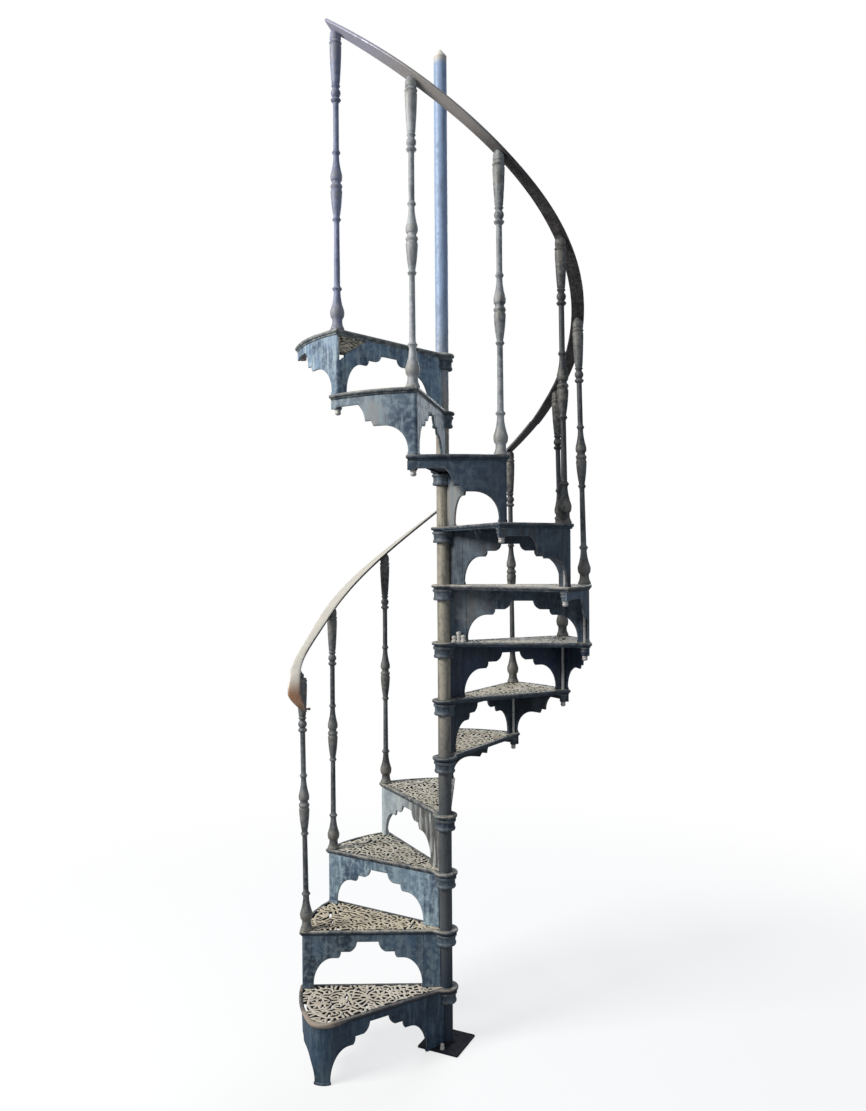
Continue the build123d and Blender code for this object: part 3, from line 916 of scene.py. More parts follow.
@dataclass
class Lace:
    """Signed distance field of a tread's pierced pattern, whose X runs along the tread's middle line.

    Every bar is added as the distance from its centre line less half its width, so the field is below 0 in
    the metal and above 0 in the holes.

    Attributes:
        border: Distance from the tread's edges at which the border begins: leading, trailing and outer.
        inner: Radius at which the plain hub begins.
        cell: Grid spacing.
        swept: Radius of the leading outer corner where it is swept, or 0.
        rosette: Distance of the rosette's middle from the axis.
        margin: How far beyond a bar's points the field is worked out.
        widest: Furthest that a point of a hole may be from metal before a leaf fills it.
        most_leaves: How many leaves may be grown.
        fuller: How much wider every bar is cast than drawn.
        overlap: How far the metal runs on under the rim.
        top: Height of the top at a hole's edge.
        crown: How much higher the middle of a bar is.
        bottom: Height of the flat underside.
    """

    layout: StairLayout
    border: Triple = (8.5, 7.0, 13.0)
    inner: float = 58.0
    cell: float = 2.5
    swept: float = 0.0
    rosette: float = 250.0
    margin: float = 40.0
    widest: float = 6.7
    most_leaves: int = 400
    fuller: float = 0.6
    overlap: float = 2.0
    top: float = -2.0
    crown: float = 1.7
    bottom: float = -11.0
    grid: tuple[int, int] = field(init=False)
    points: np.ndarray = field(init=False)
    metal: np.ndarray = field(init=False)
    rim: np.ndarray = field(init=False)

    def __post_init__(self) -> None:
        """Lays out the grid and the panel's own distance field."""
        x = np.arange(self.inner - 10, self.layout.tread_radius - 1, self.cell)
        half = self.layout.tread_radius * math.sin(self.layout.turn / 2) + 12
        y = np.arange(-half, half, self.cell)
        y -= (y[0] + y[-1]) / 2
        self.grid = (len(x), len(y))
        self.points = np.stack(np.meshgrid(x, y, indexing="ij"), -1).reshape(-1, 2)
        self.rim = self.panel()
        self.metal = -self.rim

    def panel(self) -> np.ndarray:
        """Works out the distance to the panel's edge, as the greatest of those to its sides.

        Returns:
            One value for each grid point, below 0 inside the panel.
        """
        lead, tail, outer = self.border
        half = self.layout.turn / 2
        radius = np.hypot(*self.points.T)
        edge = np.maximum(radius - (self.layout.tread_radius - outer), self.inner - radius)
        for side, offset in ((1, lead), (-1, tail)):
            edge = np.maximum(edge, self.points @ [-math.sin(half), side * math.cos(half)] - offset)
        if self.swept:
            line = lead + outer - self.swept
            reach = math.sqrt((self.layout.tread_radius - self.swept) ** 2 - line ** 2)
            centre = spun((reach, line), half)
            away = self.points - centre
            beyond_lead = away @ [math.cos(half), math.sin(half)] > 0
            beyond_arc = away[:, 1] * centre[0] - away[:, 0] * centre[1] > 0
            corner = np.hypot(*away.T) - (self.swept - outer)
            edge = np.where(beyond_lead & beyond_arc, np.maximum(edge, corner), edge)
        return edge

    def bar(self, path: np.ndarray, width: np.ndarray, mirrored: bool = True) -> None:
        """Adds a bar of varying width: the least distance from its segments, less half the width there.

        Args:
            path: Points of its centre line.
            width: Its width at each.
            mirrored: Whether its image in the tread's middle line is added too.
        """
        for line in ((path, path * [1, -1]) if mirrored else (path,)):
            low, high = line.min(0) - self.margin, line.max(0) + self.margin
            near = np.all((self.points > low) & (self.points < high), 1)
            spots = self.points[near][:, None]
            start, way = line[:-1][None], (line[1:] - line[:-1])[None]
            part = np.clip(((spots - start) * way).sum(2) / np.maximum((way * way).sum(2), 1e-9), 0, 1)
            gap = np.hypot(*np.moveaxis(spots - start - way * part[..., None], 2, 0))
            gap = (gap - (width[:-1] * (1 - part) + width[1:] * part) / 2).min(1)
            self.metal[near] = np.minimum(self.metal[near], gap)

    def leaf(self, start: Pair, heading: float, length: float, width: float, curl: float,
             mirrored: bool = True) -> None:
        """Adds a leaf: a short scroll that swells as a sine and ends in a blunt tip."""
        path = flowing(start, heading, [(0, -curl * 0.5 / length), (1, curl * 1.8 / length)], length, 9)
        part = np.linspace(0, 1, 9)
        self.bar(path, width * (0.35 + 0.65 * np.sin(np.pi * np.clip(part * 0.85 + 0.15, 0, 1))), mirrored)

    def ornament(self) -> None:
        """Draws a rosette, five pairs of scrolls, two sprays, and leaves wherever a hole is wide."""
        for radius, width in ((39, 7.5), (9, 6)):
            self.bar(arc((self.rosette, 0), radius, 0, 2 * np.pi, 49), np.full(49, width), False)
        for eighth in range(8):
            angle = eighth * math.pi / 4
            foot = (self.rosette + 8 * math.cos(angle), 8 * math.sin(angle))
            self.leaf(foot, eighth * 45, 29, 10, 0.6, False)
        for start, heading, bends, length, widths in (
                ((508, 0), 100, ((0, 0.001), (0.35, 0.010), (0.6, 0.03), (1, 0.085)), 255, (9, 7)),
                ((291, 6), 38, ((0, -0.004), (0.3, 0), (0.55, -0.022), (1, -0.095)), 215, (9, 7)),
                ((345, 66), 200, ((0, 0.012), (0.5, 0.012), (1, 0.1)), 125, (8, 6)),
                ((212, 6), 140, ((0, -0.02), (0.5, -0.035), (1, -0.14)), 105, (7.5, 6)),
                ((58, 0), 30, ((0, 0.01), (0.4, 0.03), (1, -0.13)), 90, (7, 5.5))):
            self.bar(flowing(start, heading, bends, length, 40), np.linspace(*widths, 40))
        for foot, curl, spray in ((462, 0.5, ((0, 46), (34, 40), (66, 34))),
                                  (370, 0.6, ((0, 54), (28, 44), (56, 34)))):
            for heading, length in spray:
                self.leaf((foot, 0), heading, length, 11, curl)
        self.fill()
        self.metal = np.maximum(self.metal - self.fuller, self.rim - self.overlap)

    def fill(self) -> None:
        """Grows a leaf from the nearest metal into the widest hole, again and again."""
        for count in range(self.most_leaves):
            middle = int(np.argmax(np.where(self.points[:, 1] >= -1e-6, self.metal, -1)))
            reach = self.metal[middle]
            if reach < self.widest:
                return
            away = np.hypot(*(self.points - self.points[middle]).T)
            metal = np.where((away < reach + 6) & (self.metal < 0.8))[0]
            if len(metal) == 0:
                self.metal[middle] = 0
                continue
            root = self.points[metal[np.argmin(away[metal])]]
            way = self.points[middle] - root
            length = float(np.hypot(*way))
            side = 1 if count % 2 else -1
            self.leaf(root - way / length * 2, math.degrees(math.atan2(way[1], way[0])) + side * 8,
                      min(2 * length + 4, 44), min(9, 0.42 * length + 4.5), 0.5 * side)

    def shell(self) -> Shell:
        """Turns the field into metal in the step's frame, by marching squares.

        Each grid cell keeps the part where the field is below 0, bounded by straight cuts between the points
        where the field crosses 0 on its sides. The top is domed: z = top + crown * (1 - (1 - d / 3)^2) for a
        depth d into the metal of up to 3.

        Returns:
            The closed surface.
        """
        along, across = self.grid
        level = np.where(np.abs(self.metal) < 0.05, -0.05, self.metal)
        inside = (level < 0).reshape(along, across)
        number = np.arange(along * across).reshape(along, across)
        spots = [self.points]

        def crossings(first: np.ndarray, second: np.ndarray) -> np.ndarray:
            """Numbers the zero crossings between neighbouring grid points and keeps their places.

            Args:
                first: Numbers of grid points.
                second: Numbers of their neighbours.

            Returns:
                The number of each crossing, or -1.
            """
            a, b = first.ravel(), second.ravel()
            part = level[a] / np.where(level[a] == level[b], 1, level[a] - level[b])
            cut = (level[a] < 0) != (level[b] < 0)
            made = np.full(len(a), -1)
            made[cut] = sum(map(len, spots)) + np.arange(cut.sum())
            spots.append((self.points[a] + (self.points[b] - self.points[a]) * part[:, None])[cut])
            return made.reshape(first.shape)

        upright = crossings(number[:, :-1], number[:, 1:])
        lying = crossings(number[:-1], number[1:])
        flat = np.concatenate(spots)
        ring = np.stack([number[:-1, :-1], lying[:, :-1], number[1:, :-1], upright[1:],
                         number[1:, 1:], lying[:, 1:], number[:-1, 1:], upright[:-1]], -1).reshape(-1, 8)
        kind = sum(inside[i:along - 1 + i, j:across - 1 + j].astype(int) << bit
                   for bit, (i, j) in enumerate(((0, 0), (1, 0), (1, 1), (0, 1)))).ravel()
        faces, walls = [], []
        for case in range(1, 16):
            cells = ring[kind == case]
            kept = [bool(case >> bit & 1) for bit in range(4)]
            outline: list[int] = []
            for bit in range(4):
                if kept[bit]:
                    outline.append(2 * bit)
                if kept[bit] != kept[(bit + 1) % 4]:
                    outline.append(2 * bit + 1)
            for a, b in zip(outline, outline[1:] + outline[:1]):
                if a % 2 and b % 2:
                    walls.append(cells[:, [a, b]])
            while len(outline) > 2:
                corners = outline[:4] if len(outline) > 3 else outline[:3] + [outline[2]]
                faces.append(cells[:, corners])
                outline = [outline[0]] + outline[3:]
        top_faces, edges = np.concatenate(faces), np.concatenate(walls)
        used, place = np.unique(top_faces, return_inverse=True)
        count = len(used)
        rank = np.full(len(flat), -1)
        rank[used] = np.arange(count)
        top_faces, edges = place.reshape(-1, 4), rank[edges]
        whole = used < along * across
        depth = np.zeros(count)
        depth[whole] = np.clip(-level[used[whole]], 0, 3) / 3
        plan = spun(flat[used], -self.layout.turn / 2)
        under = top_faces[:, [3, 2, 1, 0]] + count
        triangle = top_faces[:, 2] == top_faces[:, 3]
        under[triangle] = top_faces[triangle][:, [2, 1, 0, 0]] + count
        sides = np.stack([edges[:, 1], edges[:, 0], edges[:, 0] + count, edges[:, 1] + count], 1)
        domed = self.top + self.crown * (1 - (1 - depth) ** 2)
        points = np.concatenate([raised(plan, domed), raised(plan, self.bottom)])
        return Shell(points, np.concatenate([top_faces, under, sides]),
                     np.concatenate([0.35 + 0.5 * depth, np.zeros(count)])).outwards()


@dataclass
class Tread:
    """A pierced tread: a moulded rim, a plain hub and the lace between them.

    Attributes:
        tail: How far the trailing edge stands past its riser line.
        ring: Radius of the hub ring.
        blend: Radius of the hollow between the ring and the straight edges.
        corner: Radius of the outer corners.
        swept: Radius of the bottom tread's leading outer corner.
        border: Width of the rim.
        bore: Radius of the hole for the column.
        pads: Radii of the plain pads for the tie rod and for the baluster's foot.
        rows: The rim's section: distance inside the outline, height and wear.
    """

    layout: StairLayout
    tail: float = 20.0
    ring: float = 45.0
    blend: float = 34.0
    corner: float = 6.0
    swept: float = 65.0
    border: float = 13.0
    bore: float = 24.4
    pads: Pair = (19.0, 20.0)
    rows: tuple[Triple, ...] = (
        (13, -0.4, 0.55), (8, 0, 0.8), (3.2, 0, 0.95), (1.1, -1.0, 1.0), (0.1, -3.2, 1.0), (0, -6, 0.8),
        (0.1, -8.8, 0.55), (1.1, -11, 0.35), (3.2, -12, 0.15), (5, -12.2, 0.1), (5, -14.4, 0.3),
        (5.6, -16.8, 0.3), (7, -18, 0.1), (13, -18, 0))

    def edge(self, inset: float, ahead: float, corner: float) -> np.ndarray:
        """One side of the outline, from the hub to the outer edge, in the leading edge's frame.

        Args:
            inset: How far inside the outline.
            ahead: How far the edge stands past its riser line.
            corner: Radius of the outer corner.

        Returns:
            Rows of two coordinates.
        """
        reach = math.sqrt((self.ring + self.blend) ** 2 - (ahead + self.blend) ** 2)
        centre = (reach, ahead + self.blend)
        hub = math.atan2(-centre[1], -centre[0])
        more = (self.ring - self.bore) / self.border - 1
        radius = self.blend + inset * (1 + more * eased(np.linspace(1, 0, 12)[:, None]))
        hollow = arc(centre, radius, hub, -math.pi / 2, 12)
        limit, line = self.layout.tread_radius - inset, ahead - inset
        radius = max(corner - inset, 0.4)
        out = math.sqrt((limit - radius) ** 2 - (line - radius) ** 2)
        straight = np.stack([np.linspace(reach, out, 12)[1:-1], np.full(10, line)], 1)
        round_end = arc((out, line - radius), radius, math.pi / 2, math.atan2(line - radius, out), 12)
        return np.concatenate([hollow, straight, round_end])

    def loop(self, inset: float, corner: float) -> np.ndarray:
        """The whole outline, set in by some distance.

        Args:
            inset: How far.
            corner: Radius of the leading outer corner.

        Returns:
            Rows of two coordinates, once round.
        """
        lead = self.edge(inset, self.layout.nose, corner)
        tail = self.layout.tail_frame(self.edge(inset, self.tail, self.corner))
        start, end = (math.atan2(points[-1, 1], points[-1, 0]) for points in (lead, tail))
        outer = arc((0, 0), self.layout.tread_radius - inset, start, end, 30)[1:-1]
        start, end = (math.atan2(points[0, 1], points[0, 0]) for points in (tail, lead))
        hub = self.ring - inset * (self.ring - self.bore) / self.border
        back = arc((0, 0), hub, start, end - 2 * math.pi, 30)[1:-1]
        return np.concatenate([lead, outer, tail[::-1], back])

    def hub_plate(self) -> Shell:
        """The plain part between the ring and the lace, which ends under the rim on both sides.

        Returns:
            Its surface.
        """
        half = self.layout.turn / 2
        radius = np.array([self.bore, 36.0, 44.0, 52.0, 59.5])
        spread = np.radians([43.0, 36.0, 30.0, 22.0, 15.0])
        angle = -half + np.linspace(-1, 1, 15)[:, None] * (half + spread)
        upper = np.stack([radius * np.cos(angle), radius * np.sin(angle), np.full(angle.shape, -0.5)], -1)
        lower = upper[:, ::-1] * [1, 1, 0] + [0, 0, -7.3]
        return lofted(np.concatenate([upper, lower], 1), 0.6)

    def pad(self, centre: Pair, radius: float) -> Shell:
        """A plain round pad for a baluster's foot or a tie rod."""
        profile = [(THIN, -11.5), (radius, -11.5), (radius, -0.6), (radius - 0.8, 0.25), (THIN, 0.25)]
        return turned(profile, 40, centre)

    def rim(self, number: int) -> Shell:
        """The moulded rim with the ring about the column, in the stair's frame."""
        corner = self.swept if number == 1 else self.corner
        rings = np.stack([raised(self.loop(inset, corner), height) for inset, height, _ in self.rows])
        return self.layout.place(lofted(rings, np.array(self.rows)[:, 2:], endless=True), number)

    def panel(self, number: int, lace: Lace) -> Shell:
        """The hub's plain part, the pads and the lace, in the stair's frame.

        Args:
            number: The step, counted from the floor.
            lace: Its pierced pattern.

        Returns:
            Their surface.
        """
        rod_pad, foot_pad = self.pads
        parts = [self.hub_plate(), lace.shell(), self.pad(self.layout.boss, rod_pad)]
        if number > 1:
            parts.append(self.pad((self.layout.baluster_circle, 0), foot_pad))
        return self.layout.place(joined(parts), number)


# ---- Brackets -----------------------------------------------------------------------------------------
class Plan:
    """Plan line of a bracket's outer faces: along the riser, round the corner and along the string."""

    riser_points = 60
    corner_points = 40
    string_points = 240

    def __init__(self, layout: StairLayout, front: float, string: float, corner: float, start: float,
                 end: float) -> None:
        """Lays the line out.

        Args:
            layout: The stair's sizes.
            front: The riser's front face, ahead of the riser line.
            string: Radius of the string's outer face.
            corner: Radius of the corner between them.
            start: Distance from the axis at which the riser begins.
            end: How far the string runs on past the next riser line.
        """
        out = math.sqrt((string - corner) ** 2 - (front - corner) ** 2)
        turn_end = math.atan2(front - corner, out)
        last = -layout.turn - math.asin(end / string)
        line = raised(np.linspace(start, out, self.riser_points), front)
        bend = arc((out, front - corner), corner, math.pi / 2, turn_end, self.corner_points)
        sweep = arc((0, 0), string, turn_end, last, self.string_points)
        self.points = np.concatenate([line, bend[1:], sweep[1:]])
        facing = np.concatenate([np.full(self.riser_points, math.pi / 2),
                                 np.linspace(math.pi / 2, turn_end, self.corner_points)[1:],
                                 np.linspace(turn_end, last, self.string_points)[1:]])
        self.normals = np.stack([np.cos(facing), np.sin(facing)], 1)
        self.runs = np.concatenate([[0], np.cumsum(np.hypot(*np.diff(self.points, axis=0).T))])

    def at(self, run: np.ndarray, depth: float) -> np.ndarray:
        """Plan points at runs along the line, at a depth behind it."""
        place, facing = (np.stack([np.interp(run, self.runs, column) for column in rows.T], -1)
                         for rows in (self.points, self.normals))
        return place - facing * depth

    def run_at(self, direction: Sequence[float], distance: np.ndarray, start: int = 0) -> np.ndarray:
        """Runs at which the line, from a numbered point on, reaches distances along a plan direction."""
        along = np.maximum.accumulate((self.points @ np.asarray(direction))[start:])
        return np.interp(distance, along, self.runs[start:])


@dataclass
class Bracket:
    """A bracket: a riser with a stepped arch, and a string with a stepped edge that runs to a tie-rod boss.

    Attributes:
        front: The riser's front face, ahead of the riser line.
        wall: Thickness of both.
        string: Radius of the string's outer face.
        tail_end: How far the string runs on past the next riser line.
        corner: Radius of the corner between them.
        swept: The same for the bottom step.
        middle: Distance of the arch's middle from the axis.
        half_widths: Half widths of the arch: crown, both ends of the ledge and the shelf, and the legs' gap.
        arch: Depths of the crown, the ledge and the shelf below the tread.
        arches: The same for the steps whose arches differ.
        spring: Depth at which the legs begin.
        leg: Width of the string's leg.
        shelf: Where the string's shelf begins and ends, as parts of its length, and its depth.
        ledge: The same for its ledge.
        crown: The same for its crown.
        tail: Part of the length at which the crown has come down to the boss.
        top: Depth of the tread's underside.
        rounding: Radius of the lower edges.
        mitred: How far up the faces the lower edge's mitre reaches.
        band_height: Height of the raised bands round the legs' feet.
        band_proud: How far the bands stand out.
        broken: Length and depth of the top riser's broken corner.
        screwed: The step that has screw heads by its riser's outer corner.
        screw_reach: Distance of the screws from the axis.
        screw_depths: Their depths below the tread.
    """

    layout: StairLayout
    front: float = 15.5
    wall: float = 8.0
    string: float = 526.0
    tail_end: float = 16.0
    corner: float = 9.0
    swept: float = 56.0
    middle: float = 286.0
    half_widths: tuple[float, ...] = (39.0, 64.0, 98.0, 107.0, 128.0, 198.0)
    arch: Triple = (50.0, 82.0, 105.0)
    arches: dict[int, Triple] = field(default_factory=lambda: {
        1: (37.0, 73.0, 99.0), 2: (43.0, 79.0, 101.0), 7: (54.0, 86.0, 109.0), 8: (61.0, 92.0, 112.0),
        9: (65.0, 89.0, 109.0), 12: (58.0, 81.0, 100.0)})
    spring: float = 198.0
    leg: float = 35.0
    shelf: Triple = (0.363, 0.465, 115.0)
    ledge: Triple = (0.492, 0.560, 98.0)
    crown: Triple = (0.646, 0.892, 43.0)
    tail: float = 0.935
    top: float = 18.0
    rounding: float = 1.7
    mitred: float = 7.0
    band_height: float = 9.0
    band_proud: float = 1.6
    broken: Pair = (125.0, 103.0)
    screwed: int = 10
    screw_reach: float = 503.0
    screw_depths: Pair = (122.0, 140.0)

    def riser_edge(self, number: int) -> np.ndarray:
        """Lower edge of a riser, from the column outwards.

        Args:
            number: The step, counted from the floor.

        Returns:
            Rows of distance from the axis and height.
        """
        crown, ledge_in, ledge_out, shelf_in, shelf_out, half = self.half_widths
        top, ledge, shelf, spring = (-depth for depth in (*self.arches.get(number, self.arch), self.spring))
        quarter = arc((shelf_out, spring), (half - shelf_out, shelf - spring), math.pi / 2, 0, 16)
        side = np.concatenate([[(0, top), (crown, top)], bowed((crown, top), (ledge_in, ledge), -6, 6),
                               [(ledge_out, ledge)], bowed((ledge_out, ledge), (shelf_in, shelf), -3, 4),
                               [(shelf_out, shelf)], quarter[1:], [(half, -self.layout.rise)]])
        side[:, 0] *= 0.96 if number == 1 else 1.0
        left = side[:0:-1] * [-1, 1]
        return np.concatenate([left, side]) + [self.middle, 0]

    def string_edge(self, leg: float) -> np.ndarray:
        """Lower edge of the string, from the corner leg on. The leg runs into the shelf by a cubic curve.

        Args:
            leg: Width of the leg.

        Returns:
            Rows of run from the leading edge and height.
        """
        length, spring, boss = self.length, -self.spring, -self.layout.boss_depth
        steps = (self.shelf, self.ledge, self.crown)
        (shelf_in, shelf_out, shelf), (ledge_in, ledge_out, ledge), (crown_in, crown_out, crown) = (
            (start * length, end * length, -depth) for start, end, depth in steps)
        rise, reach = shelf - spring, shelf_in - leg
        t = np.linspace(0, 1, 16)[1:, None]
        weights = ((1 - t) ** 3, 3 * t * (1 - t) ** 2, 3 * t * t * (1 - t), t ** 3)
        points = ((leg, spring), (leg, spring + 0.62 * rise), (leg + 0.45 * reach, shelf),
                  (leg + reach, shelf))
        sweep = sum(weight * np.array(point) for weight, point in zip(weights, points))
        return np.concatenate([
            [(leg, -self.layout.rise), (leg, spring)], sweep,
            [(shelf_out, shelf), (ledge_in, ledge), (ledge_out, ledge)],
            bowed((ledge_out, ledge), (crown_in, crown), 7, 7), [(crown_out, crown)],
            bowed((crown_out, crown), (self.tail * length, boss), 0.8, 5), [(length, boss)]])

    @property
    def length(self) -> float:
        """Run of the string from the leading edge of the tread to its tail end."""
        ends = sum(math.asin(past / self.string) for past in (self.layout.nose, self.tail_end))
        return self.string * (self.layout.turn + ends)

    def plan(self, number: int) -> Plan:
        """The plan line of one bracket's outer faces."""
        corner = self.swept if number == 1 else self.corner
        return Plan(self.layout, self.front, self.string, corner, 21.0, self.tail_end)

    def lower_edge(self, plan: Plan, number: int) -> np.ndarray:
        """Lower edge of the whole wall, which is cut square to the riser and square to the string's middle.

        Args:
            plan: The wall's plan line.
            number: The step. The bottom one has stouter legs.

        Returns:
            Rows of run along the plan line and height.
        """
        riser, string = self.riser_edge(number), self.string_edge(self.leg + 8 * (number == 1))
        zero = math.asin(self.layout.nose / self.string)
        angle = zero - string[:, 0] / self.string
        middle = zero - (self.leg + self.crown[1] * self.length) / 2 / self.string
        across = np.array([math.sin(middle), -math.cos(middle)])
        first = plan.run_at((1, 0), riser[:, 0])
        nearest = int(np.argmin(plan.points @ across))
        second = plan.run_at(across, -self.string * np.sin(angle - middle), nearest)
        return np.column_stack([np.concatenate([[0], first, second]),
                                np.concatenate([[-self.layout.rise], riser[:, 1], string[:, 1]])])

    def wall_shell(self, number: int) -> Shell:
        """The wall between its lower edge and the tread.

        The section at each point of the lower edge has its corners eased along the edge's mitre. On the top
        bracket, the riser's outer corner has broken away along a jagged line.

        Args:
            number: The step, counted from the floor.

        Returns:
            Its surface, in the step's frame.
        """
        plan = self.plan(number)
        line = self.lower_edge(plan, number)
        pieces = [line[:1]]
        for start, end in zip(line, line[1:]):
            count = max(1, int(np.ceil(np.hypot(*(end - start)) / 5)))
            pieces.append(start + (end - start) * np.linspace(0, 1, count + 1)[1:, None])
        line = np.concatenate(pieces)
        line = line[np.concatenate([[True], np.hypot(*np.diff(line, axis=0).T) > 0.05])]
        way = np.diff(line, axis=0)
        way /= np.hypot(*way.T)[:, None]
        left = np.stack([-way[:, 1], way[:, 0]], 1)
        left = np.concatenate([left[:1], left, left[-1:]])
        mitre = left[:-1] + left[1:]
        mitre /= np.maximum((mitre * mitre).sum(1), 0.9)[:, None] / 2
        top = np.full(len(line), -self.top)
        if number == self.layout.steps:
            length, depth = self.broken
            end = self.string - self.wall
            part = (plan.at(line[:, 0], 0.0)[:, 0] - (end - length)) / length
            gone = (part > 0) & (part < 1) & (line[:, 0] < plan.run_at((1, 0), np.array([end]))[0])
            jag = np.random.default_rng(7).uniform(-3.5, 1.5, len(line))
            top = np.where(gone, -self.top - (depth - self.top) * part + jag * (part > 0.06), top)
        rows, eased_in = [], 0.3 * self.rounding
        for depth, inset in ((0, self.mitred), (0, self.rounding), (eased_in, eased_in), (self.rounding, 0),
                             (self.wall - self.rounding, 0), (self.wall - eased_in, eased_in),
                             (self.wall, self.rounding), (self.wall, self.mitred)):
            spot = line + mitre * inset
            run = np.clip(spot[:, 0], 0, plan.runs[-1])
            rows.append(raised(plan.at(run, depth), np.minimum(spot[:, 1], top - 0.5)))
        rows = [raised(plan.at(run, 0), top), *rows, raised(plan.at(run, self.wall), top)]
        wear = np.array([0.1, 0.12, 0.75, 1.0, 0.7, 0.55, 0.8, 0.5, 0.08, 0.08])
        return lofted(np.stack(rows, 1), wear)

    def band(self, plan: Plan, start: float, end: float) -> Shell:
        """A raised band round a leg's foot.

        Args:
            plan: The wall's plan line.
            start: Run at which it begins.
            end: Run at which it ends.

        Returns:
            Its surface, in the step's frame.
        """
        proud, low = self.band_proud, -self.layout.rise
        high = low + self.band_height
        run = np.linspace(start, end, max(2, int((end - start) / 3)))
        section = [(-proud, low), (-proud, high - 1.5), (-proud + 1.2, high), (self.wall + proud - 1.2, high),
                   (self.wall + proud, high - 1.5), (self.wall + proud, low)]
        return lofted(np.stack([raised(plan.at(run, depth), height) for depth, height in section], 1), 0.5)

    def boss(self) -> Shell:
        """The ribbed cup that the tie rod passes through.

        Returns:
            Its surface.
        """
        low = -self.layout.boss_depth
        profile = [(6.4, -self.top), (17.4, -self.top), (17.6, -19.5), (17.4, -22), (16, -23.5),
                   (14.8, -25.5), (14.4, -28.5), (15.6, -30), (16, -32.5), (15.2, -34.5), (13.4, -36.5),
                   (12.8, -39.5), (13.4, -41.5), (13.4, -43.8), (12.2, low), (6.4, low)]
        return turned(profile, 36, self.layout.boss, hollow=True)

    def screw_heads(self, plan: Plan) -> list[Shell]:
        """Small domed heads on the riser's face by its outer corner.

        Args:
            plan: The wall's plan line.

        Returns:
            Their surfaces, in the step's frame.
        """
        radius = 4.5
        dome = turned([(THIN, -1), (radius, -1), (radius, 0.8), (radius * 0.7, 2.2), (THIN, 2.8)], 14)
        run = plan.run_at((1, 0), np.array([self.screw_reach]))
        middle, ahead = plan.at(run, 0)[0], plan.at(run, -1)[0]
        facing = ahead - middle
        axes = np.array([(-facing[1], facing[0], 0), (0, 0, 1), (*facing, 0)])
        return [dome.at([*middle, -depth] + dome.points @ axes).outwards() for depth in self.screw_depths]

    def build(self, number: int) -> Shell:
        """Puts a bracket together.

        Args:
            number: The step, counted from the floor.

        Returns:
            Its surface, in the stair's frame.
        """
        plan = self.plan(number)
        edge = self.lower_edge(plan, number)
        legs = edge[edge[:, 1] <= -self.layout.rise + 0.01][:, 0]
        parts = [self.wall_shell(number), self.band(plan, 24, legs[1] + 1.2),
                 self.band(plan, legs[2] - 1.2, legs[3] + 1.2)]
        if number < self.layout.steps:
            parts.append(self.boss())
        if number == self.screwed:
            parts += self.screw_heads(plan)
        return self.layout.place(joined(parts), number)


